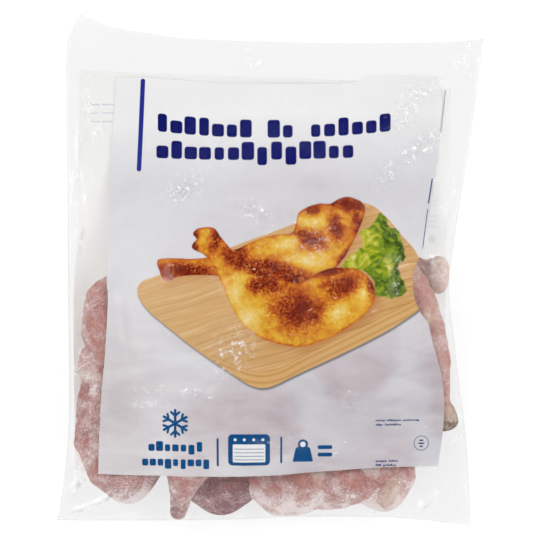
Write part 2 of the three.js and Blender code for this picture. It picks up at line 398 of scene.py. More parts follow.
class ChickenBagPrint(bpy.types.PropertyGroup):
    """Inks of the printed panels."""

    cover: share_setting("Cover", "How much the white ink hides", 0.995)
    thin_cover: share_setting(
        "Cover at the back", "How much the thin ink of the back panel hides", 0.58
    )
    white: colour_setting("White ink", "Ground of the panels", (0.70, 0.695, 0.70))
    # Ink that the white ground is darkened towards where meat lies close behind: a pink tint from
    # the meat and painted shade
    backed: colour_setting(
        "Backed ink", "White ink where meat lies close behind it", (0.40, 0.335, 0.36)
    )
    navy: colour_setting("Navy ink", "Bar and title rows", (0.002, 0.004, 0.105))
    blue: colour_setting("Blue ink", "Pictograms and small rows", (0.001, 0.058, 0.185))
    board: colour_setting("Board", "Wood of the pictured board", (0.495, 0.276, 0.093))
    golden: colour_setting("Golden", "Pale skin of the pictured roast", (0.61, 0.335, 0.028))
    roast: colour_setting("Roast", "Browned skin of the pictured roast", (0.115, 0.010, 0.004))
    leaf: colour_setting("Leaf", "Pictured salad leaf", (0.125, 0.21, 0.005))


class ChickenBagMeat(bpy.types.PropertyGroup):
    """Colours and relief of the leg quarters."""

    skin: colour_setting("Skin", "Pale skin", (0.49, 0.315, 0.27))
    meat: colour_setting("Meat", "Red meat under thin skin", (0.375, 0.15, 0.13))
    # Dark meat, which also stands in for painted shade where the reddest leg quarter lies in a
    # hollow at the bag's bottom
    dark: colour_setting("Dark meat", "Bruised meat in a hollow", (0.18, 0.09, 0.10))
    fat: colour_setting("Fat", "Fat and gristle", (0.55, 0.42, 0.32))
    brown: colour_setting("Cut end", "Dried cut end of a bone", (0.10, 0.065, 0.045))
    frost: colour_setting("Frost", "Frost on the skin", (0.61, 0.50, 0.49))
    relief: number_setting("Relief", "Depth of lumps in the skin, in millimetres", 2.5, 0.0, 5.0)


class ChickenBagStudio(bpy.types.PropertyGroup):
    """Camera, light and floor."""

    camera_height: number_setting(
        "Camera height", "From the floor", 3.0, 0.5, 10.0, unit="LENGTH"
    )
    view_width: number_setting(
        "View width", "Of floor that the picture takes in", 0.4212, 0.1, 2.0, unit="LENGTH"
    )
    sky: number_setting("Sky", "Strength of the even white light", 1.55, 0.0, 3.0)
    key: number_setting("Key", "Power of the soft box at the left, in watts", 4.0, 0.0, 100.0)
    fill: number_setting("Fill", "Power of the soft box at the right, in watts", 4.0, 0.0, 100.0)
    glow: number_setting("Floor glow", "Light that the floor gives off", 0.77, 0.0, 2.0)
    floor: colour_setting("Floor", "Colour of the floor", (0.21, 0.21, 0.21))


def smooth(low, high, value):
    """A step that eases from 0 at low to 1 at high: three times its square less two its cube."""
    share = np.clip((value - low) / (high - low), 0.0, 1.0)
    return share * share * (3.0 - 2.0 * share)


def bell(value, middle, spread):
    """A bell that is 1 at the middle and falls with the square of the distance over the spread."""
    return np.exp(-(((value - middle) / spread) ** 2))


def lattice(x, y, z, seed):
    """A repeatable random number from -1 to 1 for each cell corner, by scrambling its integers."""
    mixed = (x * 374761393 + y * 668265263 + z * 1440662683 + seed * 974634777) & 0xFFFFFFFF
    mixed = ((mixed ^ (mixed >> 13)) * 1274126177) & 0xFFFFFFFF
    return ((mixed ^ (mixed >> 16)) & 0xFFFF) / 32767.5 - 1.0


def noise(points, size, seed):
    """Value noise: the numbers at the eight corners of a point's cell, blended by eased shares."""
    scaled = np.asarray(points, float) / size
    cell = np.floor(scaled).astype(np.int64)
    share = scaled - cell
    share = share * share * share * (share * (share * 6.0 - 15.0) + 10.0)
    total = 0.0
    for corner in np.ndindex(2, 2, 2):
        weight = np.prod(np.where(corner, share, 1.0 - share), axis=-1)
        spot = cell + corner
        total = total + weight * lattice(spot[..., 0], spot[..., 1], spot[..., 2], seed)
    return total


def layered(points, size, seed, layers=3):
    """Noise of a size plus half as much of half the size, and so on, from about -1 to 1."""
    total, weight = 0.0, 0.0
    for layer in range(layers):
        part = 0.5**layer
        total = total + part * noise(points, size * part, seed + 17 * layer)
        weight += part
    return total / weight


def ridged(points, size, seed, layers=2):
    """Sharp ridges where noise crosses zero: one less its height without sign, squared."""
    total = 0.0
    for layer in range(layers):
        part = 0.5**layer
        crest = 1.0 - np.abs(noise(points, size * part, seed + 31 * layer))
        total = total + part * crest**4
    return total / (2.0 - 0.5 ** (layers - 1))


def through(points, shares):
    """A curve through the points, at shares of its length: between two points it is the cubic
    whose slope at each is half the chord between its neighbours."""
    knots = np.asarray(points, float)
    padded = np.vstack([knots[:1], knots, knots[-1:]])
    steps = np.linspace(0, len(knots) - 1, CURVE_STEPS * (len(knots) - 1) + 1)
    span = np.minimum(steps.astype(int), len(knots) - 2)
    share = (steps - span)[:, None]
    before, start, end, after = (padded[span + k] for k in range(4))
    leaving, arriving = (end - before) / 2, (after - start) / 2
    cubic = 2 * (start - end) + leaving + arriving
    square = 3 * (end - start) - 2 * leaving - arriving
    line = start + share * (leaving + share * (square + share * cubic))
    length = np.concatenate([[0], np.cumsum(np.linalg.norm(np.diff(line, axis=0), axis=1))])
    found = [np.interp(shares * length[-1], length, line[:, k]) for k in range(line.shape[1])]
    return np.stack(found, axis=-1)


def outlined(points, plan):
    """Signed distance in millimetres from a closed outline, negative inside. Between two of its
    points the outline is the cubic that leaves and arrives along the chords of their neighbours,
    as fast as the span is long."""
    start = np.array(points, float)
    end = np.roll(start, -1, axis=0)
    way = end - np.roll(start, 1, axis=0)
    way = way / np.linalg.norm(way, axis=1, keepdims=True)
    length = np.linalg.norm(end - start, axis=1, keepdims=True)
    leaving, arriving = way * length, np.roll(way, -1, axis=0) * length
    cubic = 2 * (start - end) + leaving + arriving
    square = 3 * (end - start) - 2 * leaving - arriving
    share = np.arange(OUTLINE_STEPS)[:, None, None] / OUTLINE_STEPS
    line = start + share * (leaving + share * (square + share * cubic))
    line = line.swapaxes(0, 1).reshape(-1, 2)
    nearest = np.full(plan.shape[:-1], np.inf)
    inside = np.zeros(plan.shape[:-1], bool)
    for point, after in zip(line, np.roll(line, -1, axis=0)):
        run, offset = after - point, plan - point
        along = np.clip((offset @ run) / max(run @ run, 1e-9), 0, 1)
        gap = offset - along[..., None] * run
        nearest = np.minimum(nearest, (gap * gap).sum(axis=-1))
        crossed = (offset[..., 1] < 0) != (offset[..., 1] < run[1])
        turned = (offset[..., 0] * run[1] < offset[..., 1] * run[0]) == (run[1] > 0)
        inside ^= crossed & turned
    return np.where(inside, -1.0, 1.0) * np.sqrt(nearest)


def spotted(spots, plan):
    """The strongest of several soft spots: each is a bell of its turned, scaled radius."""
    total = np.zeros(plan.shape[:-1])
    for middle, half, turn in spots:
        cosine, sine = np.cos(np.radians(turn)), np.sin(np.radians(turn))
        x, y = plan[..., 0] - middle[0], plan[..., 1] - middle[1]
        radius = np.hypot((x * cosine + y * sine) / half[0], (y * cosine - x * sine) / half[1])
        total = np.maximum(total, bell(radius, 0.0, SPOT_SPREAD))
    return total


def picture_fields(plan):
    """What the front panel's picture is drawn from, at points of the plan."""
    fields = {key: spotted(spots, plan) for key, spots in SPOTS.items()}
    for key, (outline, shift) in PICTURE_SHAPES.items():
        fields[key] = outlined(outline, plan + shift)
    return fields


def patch(edges, across, along):
    """The surface between four edge curves: the blend of left and right plus the blend of bottom
    and top, less the blend of the four corners."""
    left, right = through(edges["left"], along), through(edges["right"], along)
    bottom, top = through(edges["bottom"], across), through(edges["top"], across)
    a, b = across[..., None], along[..., None]
    corners = 0.0
    for share, which in ((1 - b, 0), (b, -1)):
        level = (1 - a) * patch_corner(edges, "left", which)
        level = level + a * patch_corner(edges, "right", which)
        corners = corners + share * level
    return (1 - a) * left + a * right + (1 - b) * bottom + b * top - corners


def patch_corner(edges, side, which):
    """The bottom or top corner of four edges at one side."""
    return np.array(edges[side][which], float)


def bag_shares(plan):
    """Where points of the plan lie across and along the bag, by stepping each share by its miss
    over the bag's size until the patch of the outline lands on the points."""
    across = plan[..., 0] / BAG_WIDTH + 0.5
    along = plan[..., 1] / BAG_LENGTH + 0.5
    for _ in range(SEARCH_STEPS):
        miss = plan - patch(BAG_EDGES, np.clip(across, 0, 1), np.clip(along, 0, 1))
        across = across + miss[..., 0] / SEARCH_SIZES[0]
        along = along + miss[..., 1] / SEARCH_SIZES[1]
    return np.clip(across, 0, 1), np.clip(along, 0, 1)


def back_height(across, along, plan):
    """Height of the back sheet: zero in the middle, and near the outline a quarter round up to
    the seam, whose height is a bell along each side and along the bottom."""
    side = FREE_EDGE + SIDE_EDGE * bell(along, SIDE_EDGE_MIDDLE, SIDE_EDGE_SPREAD)
    bottom = FREE_EDGE + BOTTOM_EDGE * bell(across, 0.5, BOTTOM_EDGE_SPREAD)

    def quarter_round(from_seam):
        left = np.clip(1 - from_seam / TURN_UP, 0, 1)
        return 1 - np.sqrt(1 - left * left)

    height = np.maximum.reduce([
        side * quarter_round(across * BAG_WIDTH),
        side * quarter_round((1 - across) * BAG_WIDTH),
        bottom * quarter_round(along * BAG_LENGTH),
        FREE_EDGE * quarter_round((1 - along) * BAG_LENGTH),
    ])
    for corner, lift, reach in LIFTED_CORNERS:
        distance = np.hypot(plan[..., 0] - corner[0], plan[..., 1] - corner[1])
        height = height + lift * np.clip(1 - distance / (2 * reach), 0, 1) ** 2
    return height


def leg_line(leg, shares):
    """Points and directions at shares of the length of a leg quarter's bend, which is the
    parabola from hip to ankle that leaves and arrives along the lines to the knee point."""
    hip, knee, ankle = (np.array(point, float) for point in (leg.hip, leg.knee, leg.ankle))
    steps = np.linspace(0, 1, LEG_STEPS)[:, None]
    line = (1 - steps) ** 2 * hip + 2 * steps * (1 - steps) * knee + steps**2 * ankle
    length = np.concatenate([[0], np.cumsum(np.linalg.norm(np.diff(line, axis=0), axis=1))])
    at = np.interp(np.asarray(shares) * length[-1], length, steps[:, 0])[..., None]
    middle = (1 - at) ** 2 * hip + 2 * at * (1 - at) * knee + at**2 * ankle
    heading = (1 - at) * (knee - hip) + at * (ankle - knee)
    return middle, heading / np.linalg.norm(heading, axis=-1, keepdims=True)


def leg_sizes(leg, shares):
    """Half width and half thickness at shares of a leg quarter's length: the profile between its
    knots, fuller or thinner at the knuckle, and closed at both ends by the square root that makes
    a round cap."""
    size = leg.size * (1 + (leg.knuckle - 1) * smooth(KNUCKLE_FROM, KNUCKLE_TO, shares))
    wide = np.interp(shares, LEG_PROFILE[:, 0], LEG_PROFILE[:, 1]) * size
    thick = np.interp(shares, LEG_PROFILE[:, 0], LEG_PROFILE[:, 2]) * size
    hip_end = np.clip((ROUNDED_HIP - shares) / ROUNDED_HIP, 0, 1)
    ankle_end = np.clip((shares - 1 + ROUNDED_ANKLE) / ROUNDED_ANKLE, 0, 1)
    rounding = np.sqrt((1 - hip_end**2) * (1 - ankle_end**2))
    return wide * rounding, thick * rounding


def legs_top(plan, clearance):
    """Height of the leg quarters' upper side over points of the plan, or 0 where there is none:
    the highest of half ellipses across each leg quarter's slices."""
    highest = np.zeros(plan.shape[:-1])
    shares = (np.arange(SLICES) + 0.5) / SLICES
    for leg in LEG_QUARTERS:
        middles, headings = leg_line(leg, shares)
        for middle, heading, wide, thick in zip(middles, headings, *leg_sizes(leg, shares)):
            flat = heading[:2] / np.linalg.norm(heading[:2])
            offset = plan - middle[:2]
            near = (offset * offset).sum(axis=-1) < (max(wide, SLICE_REACH) + clearance) ** 2
            offset = offset[near]
            lengthways = (offset @ flat) / SLICE_REACH
            sideways = (offset[:, 0] * flat[1] - offset[:, 1] * flat[0]) / (wide + clearance)
            inside = 1 - lengthways**2 - sideways**2
            top = middle[2] + thick * np.sqrt(np.maximum(inside, 0)) + clearance
            highest[near] = np.where(inside > 0, np.maximum(highest[near], top), highest[near])
    return highest


def resampled(grid, across, along):
    """Values of a grid at shares across and along it, blended from the four nearest."""
    rows, columns = grid.shape[0] - 1, grid.shape[1] - 1
    x, y = across * columns, along * rows
    column = np.clip(x.astype(int), 0, columns - 1)
    row = np.clip(y.astype(int), 0, rows - 1)
    a, b = x - column, y - row
    if grid.ndim == 3:
        a, b = a[..., None], b[..., None]
    low = (1 - a) * grid[row, column] + a * grid[row, column + 1]
    high = (1 - a) * grid[row + 1, column] + a * grid[row + 1, column + 1]
    return (1 - b) * low + b * high


def blurred(grid, passes):
    """A grid whose points each went to the mean of themselves and their neighbours, many times."""
    for _ in range(passes):
        padded = np.pad(grid, 1, mode="edge")
        around = padded[1:-1, :-2] + padded[1:-1, 2:] + padded[:-2, 1:-1] + padded[2:, 1:-1]
        grid = 0.2 * (grid + around)
    return grid


def share_grids(columns, rows):
    """Shares across and along a sheet at every corner of its cells."""
    return np.meshgrid(np.linspace(0, 1, columns + 1), np.linspace(0, 1, rows + 1))


def grid_normals(points):
    """Unit normals of a grid of points: the cross of its differences across and along."""
    across = np.gradient(points, axis=1)
    along = np.gradient(points, axis=0)
    normals = np.cross(across, along)
    return normals / np.maximum(np.linalg.norm(normals, axis=-1, keepdims=True), 1e-9)


def settled_heights(columns, rows, slump, clearance):
    """Heights of the smooth front sheet. Each point goes to the mean of its neighbours less the
    slump of one cell, and never below its support, first on a coarse grid and then on finer ones."""
    front = None
    for coarse, sweeps in SETTLING:
        across, along = share_grids(columns // coarse, rows // coarse)
        plan = patch(BAG_EDGES, across, along)
        back = back_height(across, along, plan)
        support = np.maximum(back + LEAST_ROOM, legs_top(plan, clearance))
        seam = np.ones(back.shape, bool)
        seam[1:-1, 1:-1] = False
        support = np.where(seam, back, support)
        cell = (BAG_WIDTH + BAG_LENGTH) * coarse / (columns + rows)
        drop = slump * cell * cell / 4
        front = support if front is None else np.maximum(support, resampled(front, across, along))
        front = np.where(seam, back, front)
        for _ in range(sweeps):
            around = front[1:-1, :-2] + front[1:-1, 2:] + front[:-2, 1:-1] + front[2:, 1:-1]
            front[1:-1, 1:-1] = np.maximum(support[1:-1, 1:-1], around / 4 - drop)
    return plan, back, front


def crease_field(plan):
    """Height of the pressed creases: each is a bell across its line that fades at both ends."""
    total = np.zeros(plan.shape[:-1])
    for start, end, half_width, height in CREASES:
        start, run = np.array(start, float), np.subtract(end, start).astype(float)
        length = np.linalg.norm(run)
        offset = plan - start
        share = (offset @ run) / length**2
        sideways = (offset[..., 0] * run[1] - offset[..., 1] * run[0]) / length
        sideways = sideways + CREASE_SWAY * length * np.sin(CREASE_WAVES * share + start[0])
        fade = smooth(-0.15, 0.25, share) * smooth(1.15, 0.75, share)
        total = total + height * fade * np.exp(-np.abs(sideways / half_width) ** CREASE_POWER)
    return total


def crinkle_field(points):
    """Height of the patches of small crinkles, which is sharp ridges inside a turned bell, and
    the bells alone."""
    total = np.zeros(points.shape[:-1])
    fine = ridged(points, CRINKLE_SIZES[0], 41) - 0.35
    fine = fine + 0.6 * noise(points, CRINKLE_SIZES[1], 43)
    for middle, (long_reach, short_reach), turn, height in CRINKLES:
        cosine, sine = np.cos(np.radians(turn)), np.sin(np.radians(turn))
        x, y = points[..., 0] - middle[0], points[..., 1] - middle[1]
        lengthways = (x * cosine + y * sine) / long_reach
        sideways = (y * cosine - x * sine) / short_reach
        total = total + height * np.exp(-(lengthways**2) - sideways**2)
    return total * fine, total


def side_streaks(plan, from_seam):
    """Height of the fine folds that run along the bag's sides and in from its bottom end."""
    x, y = plan[..., 0], plan[..., 1]
    upright = np.stack([x, 0.10 * y, 0 * x], axis=-1)
    level = np.stack([0.16 * x, y, 0 * x], axis=-1)
    sides = smooth(118.0, 138.0, np.abs(x)) * smooth(196.0, 170.0, y)
    ends = smooth(-160.0, -176.0, y) * smooth(150.0, 120.0, np.abs(x))
    height = 0.6 * sides * (ridged(upright, 9.0, 71, 1) - 0.3)
    height = height + 0.6 * ends * (ridged(level, 8.0, 73, 1) - 0.3)
    return height * smooth(0.0, 4.0, from_seam)


@lru_cache(maxsize=None)
def film_sheets(columns, rows, slump, clearance, wrinkle):
    """Points of the front and back sheets, normals of the front, and how crinkled it is, how its
    folds catch the light and how bare of print it is. Fold light is how far its wrinkles lean to the
    upper left, from -1 to 1; the film's shader paints it as light and shade. The wrinkles move the
    smooth front along its normals, by less inwards than its clearance."""
    plan, back, front = settled_heights(columns, rows, slump, clearance)
    across, along = share_grids(columns, rows)
    from_seam = np.minimum.reduce([
        across * BAG_WIDTH, (1 - across) * BAG_WIDTH, along * BAG_LENGTH, (1 - along) * BAG_LENGTH
    ])
    free = smooth(0.0, 7.0, from_seam)
    flat = np.dstack([plan, front])
    small, crinkled = crinkle_field(flat)
    loose = smooth(6.0, 1.0, front - back)
    drape = layered(flat, DRAPE_SIZES[0], 5, 2) + 0.45 * (ridged(flat, DRAPE_SIZES[1], 9, 1) - 0.3)
    taut = 0.35 * (ridged(flat * (1, 1, 0.6), TAUT_SIZE, 13) - 0.3)
    bumps = (1 - 0.6 * loose) * drape + (1 - loose) * taut
    bumps = bumps + 0.8 * small + 0.8 * crease_field(plan) + 0.7 * side_streaks(plan, from_seam)
    lift = wrinkle * free * np.maximum(bumps, -0.55 * clearance - 0.1 * (front - back) * loose)
    normals = grid_normals(flat)
    points = flat + normals * lift[..., None]
    points[..., 2] = np.maximum(points[..., 2], back + 0.95 * free)
    under = np.dstack([plan, back + 0.25 * free * (1 + noise(flat, 16.0, 23)) * smooth(0, 3, back)])
    bent = grid_normals(points)
    folded = (bent - normals) @ np.array(UPPER_LEFT) * smooth(0.0, 2.5, from_seam)
    panel = 1.0
    for axis, sides in enumerate((("left", "right"), ("bottom", "top"))):
        for side in sides:
            panel = panel * smooth(*PANEL_SPAN[side], plan[..., axis])
    stored = {
        "crinkled": crinkled,
        "rim": smooth(3.0, 0.6, from_seam),
        "folded": np.sign(folded) * smooth(0.05, 0.42, np.abs(folded)),
        "bare": 1 - panel,
    }
    return points, under, bent, stored


def film_of(film):
    """The film's sheets for the sizes in its settings."""
    return film_sheets(film.columns, film.rows, film.slump, film.clearance, film.wrinkle)


def sheet_corners(columns, rows):
    """Corner numbers of a grid's cells, anticlockwise as seen from above."""
    start = np.arange(rows)[:, None] * (columns + 1) + np.arange(columns)
    cells = np.stack([start, start + 1, start + columns + 2, start + columns + 1], axis=-1)
    return cells.reshape(-1, 4)


def between_sheets(points, front, back):
    """Points of a leg quarter, lowered where they come closer under the front sheet than the gap
    that leaves room for the print, and raised where they come as close to the back sheet."""
    across, along = bag_shares(points[:, :2])
    lowest = resampled(back[..., 2], across, along) + FILM_GAP
    highest = resampled(front[..., 2], across, along) - FILM_GAP
    height = np.minimum(np.maximum(points[:, 2], lowest), highest)
    return np.column_stack([points[:, :2], height])


def new_piece(name, points, faces, material, corner_uvs=None, attributes=None):
    """A smooth mesh object at the origin, from points in millimetres and faces by corner number,
    that rides on the bag's body and takes its finish from a material slot."""
    mesh = bpy.data.meshes.new(name)
    mesh.from_pydata((np.asarray(points).reshape(-1, 3) * MM).tolist(), [], faces)
    if corner_uvs is not None:
        layer = mesh.uv_layers.new(name="OFBake")
        layer.data.foreach_set("uv", np.asarray(corner_uvs, np.float32).ravel())
    for key, values in (attributes or {}).items():
        layer = mesh.attributes.new(key, "FLOAT", "POINT")
        layer.data.foreach_set("value", np.asarray(values, np.float32).ravel())
    mesh.polygons.foreach_set("use_smooth", np.ones(len(mesh.polygons), bool))
    mesh.materials.append(material)
    mesh.update()
    piece = bpy.data.objects.new(name, mesh)
    bpy.context.scene.collection.objects.link(piece)
    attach(piece, BODY)
    return piece


class Number:
    """A number socket of a shader. Arithmetic on it adds Math nodes."""

    def __init__(self, shader, socket):
        self.shader = shader
        self.socket = socket

    def math(self, operation, *others, clamp=False):
        """This number and others through one Math node."""
        return self.shader.math(operation, self, *others, clamp=clamp)

    def __add__(self, other):
        return self.math("ADD", other)

    def __sub__(self, other):
        return self.math("SUBTRACT", other)

    def __rsub__(self, other):
        return self.shader.math("SUBTRACT", other, self)

    def __mul__(self, other):
        return self.math("MULTIPLY", other)

    def __truediv__(self, other):
        return self.math("DIVIDE", other)

    def __pow__(self, other):
        return self.math("POWER", other)

    def __abs__(self):
        return self.math("ABSOLUTE")

    __radd__ = __add__
    __rmul__ = __mul__

    def least(self, other):
        """The smaller of two numbers."""
        return self.math("MINIMUM", other)

    def most(self, other):
        """The larger of two numbers."""
        return self.math("MAXIMUM", other)

    def clipped(self):
        """The number held between 0 and 1."""
        return self.math("ADD", 0.0, clamp=True)

    def root(self):
        """The square root."""
        return self.math("SQRT")

    def floor(self):
        """The whole number below."""
        return self.math("FLOOR")

    def step(self, low, high):
        """An eased step from 0 at low to 1 at high."""
        made = self.shader.node(
            "ShaderNodeMapRange",
            {"interpolation_type": "SMOOTHSTEP"},
            {"Value": self, "From Min": low, "From Max": high},
        )
        return Number(self.shader, made.outputs["Result"])


class Shader:
    """A material's node tree. Every node comes from its node method."""

    def __init__(self, name, tree=None):
        if tree is None:
            self.material = bpy.data.materials.new(name)
            self.material.use_nodes = True
            tree = self.material.node_tree
        self.tree = tree
        self.tree.nodes.clear()

    def node(self, kind, settings=None, inputs=None):
        """A node of a kind, with its settings made first and then its sockets filled or linked."""
        made = self.tree.nodes.new(kind)
        for key, value in (settings or {}).items():
            if key == "stops":
                self.set_stops(made.color_ramp, value)
            else:
                setattr(made, key, value)
        for key, value in (inputs or {}).items():
            socket = made.inputs[key]
            source = getattr(value, "socket", value)
            if isinstance(source, bpy.types.NodeSocket):
                self.tree.links.new(source, socket)
            else:
                socket.default_value = source
        return made

    @staticmethod
    def set_stops(ramp, stops):
        """Gives a colour ramp its stops, each a place and a colour."""
        while len(ramp.elements) < len(stops):
            ramp.elements.new(0.5)
        for element, (place, colour) in zip(ramp.elements, stops):
            element.position = place
            element.color = (*colour[:3], 1.0)

    def math(self, operation, *values, clamp=False):
        """A Math node on numbers."""
        made = self.node(
            "ShaderNodeMath", {"operation": operation, "use_clamp": clamp}, dict(enumerate(values))
        )
        return Number(self, made.outputs[0])

    def vector(self, operation, *values, **named):
        """The vector from a Vector Math node."""
        inputs = {**dict(enumerate(values)), **named}
        return self.node("ShaderNodeVectorMath", {"operation": operation}, inputs).outputs[0]

    def measured(self, operation, *values):
        """The number from a Vector Math node."""
        made = self.node(
            "ShaderNodeVectorMath", {"operation": operation}, dict(enumerate(values))
        )
        return Number(self, made.outputs["Value"])

    def place(self):
        """Object coordinates in millimetres."""
        found = self.node("ShaderNodeTexCoord").outputs["Object"]
        return self.vector("SCALE", found, Scale=1 / MM)

    def parts(self, vector):
        """The X, Y and Z numbers of a vector."""
        made = self.node("ShaderNodeSeparateXYZ", inputs={0: vector})
        return [Number(self, made.outputs[k]) for k in range(3)]

    def attribute(self, name):
        """A number stored on the mesh."""
        made = self.node("ShaderNodeAttribute", {"attribute_name": name})
        return Number(self, made.outputs["Fac"])

    def noise(self, place, size, detail=2.0, roughness=0.5, distortion=0.0):
        """Noise from 0 to 1 with features of a size in millimetres."""
        made = self.node(
            "ShaderNodeTexNoise",
            inputs={
                "Vector": place, "Scale": 1 / size, "Detail": detail, "Roughness": roughness,
                "Distortion": distortion,
            },
        )
        return Number(self, made.outputs["Fac"])

    def cells(self, place, size):
        """Distance to the nearest of scattered points, in cells of a size in millimetres."""
        made = self.node("ShaderNodeTexVoronoi", inputs={"Vector": place, "Scale": 1 / size})
        return Number(self, made.outputs["Distance"])

    def ramp(self, number, stops):
        """A colour ramp read by a number."""
        return self.node("ShaderNodeValToRGB", {"stops": stops}, {"Fac": number}).outputs["Color"]

    def mix(self, factor, first, second):
        """The blend of two colours."""
        made = self.node(
            "ShaderNodeMix",
            {"data_type": "RGBA"},
            {"Factor": factor, 6: opaque(first), 7: opaque(second)},
        )
        return made.outputs[2]

    def bump(self, height, strength, distance):
        """A normal bent by a height; distance is in metres."""
        inputs = {"Height": height, "Strength": strength, "Distance": distance}
        return self.node("ShaderNodeBump", inputs=inputs).outputs["Normal"]

    def principled(self, **inputs):
        """A Principled shader; its sockets are named by words joined with underscores."""
        named = {key.replace("_", " "): value for key, value in inputs.items()}
        return self.node("ShaderNodeBsdfPrincipled", inputs=named).outputs[0]

    def mix_shaders(self, factor, first, second):
        """The blend of two shaders."""
        made = self.node("ShaderNodeMixShader", inputs={0: factor, 1: first, 2: second})
        return made.outputs[0]

    def finish(self, surface):
        """Links a shader to the output and gives the material."""
        self.node("ShaderNodeOutputMaterial", inputs={"Surface": surface})
        return self.material


def grey(level):
    """A grey colour value."""
    return (level, level, level)


def grey_stops(levels):
    """Stops of a colour ramp from places and grey levels."""
    return [(place, grey(level)) for place, level in levels]


def opaque(colour):
    """A colour value with its alpha, or a socket as it is."""
    if isinstance(colour, bpy.types.NodeSocket):
        return colour
    return (*tuple(colour)[:3], 1.0)


class Drawing:
    """Flat shapes by their signed distance in millimetres, which is negative inside, laid one
    over another on a ground colour."""

    def __init__(self, shader, place, ground):
        self.shader = shader
        self.place = place
        self.colour = ground
        self.x, self.y, _ = shader.parts(place)

    def paint(self, distance, colour, soft=0.35, strength=1.0):
        """Lays a colour over what is inside a distance's zero line."""
        cover = (distance * (-1 / soft) + 0.5).clipped()
        if strength < 1.0:
            cover = cover * strength
        self.colour = self.shader.mix(cover, self.colour, colour)

    def segment(self, start, end, radius):
        """A line with round ends: the distance to its nearest point less its radius."""
        run = np.subtract(end, start).astype(float)
        offset = self.shader.vector("SUBTRACT", self.flat(), (*start, 0.0))
        along = self.shader.measured("DOT_PRODUCT", offset, (*(run / (run @ run)), 0.0))
        nearest = self.shader.vector("SCALE", (*run, 0.0), Scale=along.clipped())
        gap = self.shader.vector("SUBTRACT", offset, nearest)
        return self.shader.measured("LENGTH", gap) - radius

    @staticmethod
    def rounded(across, along, corner):
        """How far a point is past an inner rectangle both ways, less the corner's radius."""
        across, along = across.most(0.0), along.most(0.0)
        return (across * across + along * along).root() - corner

    def box(self, middle, half, corner=0.0):
        """A rectangle with round corners, a hair larger than its half sizes."""
        across = abs(self.x - middle[0]) - (half[0] - corner)
        along = abs(self.y - middle[1]) - (half[1] - corner)
        return self.rounded(across, along, corner) - BOX_SPARE

    def ellipse(self, middle, half, turn=0.0):
        """A turned ellipse: how far its scaled radius is past 1, times its mean half size."""
        cosine, sine = np.cos(np.radians(turn)), np.sin(np.radians(turn))
        x, y = self.x - middle[0], self.y - middle[1]
        long_share = (x * (cosine / half[0])) + (y * (sine / half[0]))
        short_share = (y * (cosine / half[1])) - (x * (sine / half[1]))
        radius = (long_share * long_share + short_share * short_share).root()
        return (radius - 1.0) * float(min(half))

    def corners(self, points, rounding):
        """A convex shape with round corners: how far a point is past each side moved in by the
        rounding, joined as the root of their squares, less the rounding. Corners run clockwise."""
        squares = []
        for start, end in zip(points, points[1:] + points[:1]):
            run = np.subtract(end, start).astype(float)
            normal = np.array([-run[1], run[0]]) / np.linalg.norm(run)
            level = float(normal @ np.array(start, float)) - rounding
            past = (self.x * float(normal[0]) + self.y * float(normal[1]) - level).most(0.0)
            squares.append(past * past)
        return reduce(Number.__add__, squares).root() - rounding

    def flat(self):
        """The place with its height taken out."""
        return self.shader.vector("MULTIPLY", self.place, (1.0, 1.0, 0.0))

    def blocks(self, start, count, height, cell, gaps, seed, bend=0.0):
        """A row of small blocks that stands where a line of print would: a number of cells along
        X, each with a rounded block whose width and height are drawn from its number, and none in
        the cells that are gaps. The row sags by the bend in its middle."""
        x = self.x - start[0]
        width = count * cell
        sag = (x / width - 0.5) ** 2 * (4 * bend) - bend if bend else 0.0
        y = self.y - start[1] - sag
        number = (x / cell).floor()
        inside = x - number * cell - cell / 2
        draw = ((number * 12.9898 + seed).math("SINE") * 43758.5453).math("FRACT")
        wide = (draw * 7.31).math("FRACT") * (0.12 * cell) + 0.33 * cell
        top = (draw - 0.66).math("GREATER_THAN", 0.0) * (BLOCK_REACH * height)
        foot = (0.14 - draw).math("GREATER_THAN", 0.0) * (BLOCK_REACH * height)
        middle = (top - foot) * 0.5
        half = (top + foot) * 0.5 + height / 2
        corner = BLOCK_CORNER * height
        across, along = abs(inside) - (wide - corner), abs(y - middle) - (half - corner)
        distance = self.rounded(across, along, corner).most(abs(x - width / 2) - width / 2)
        for gap in gaps:
            distance = distance.most(cell / 2 - abs(x - (gap + 0.5) * cell))
        return distance


def united(shapes):
    """The distance to the nearest of several shapes."""
    return reduce(Number.least, shapes)


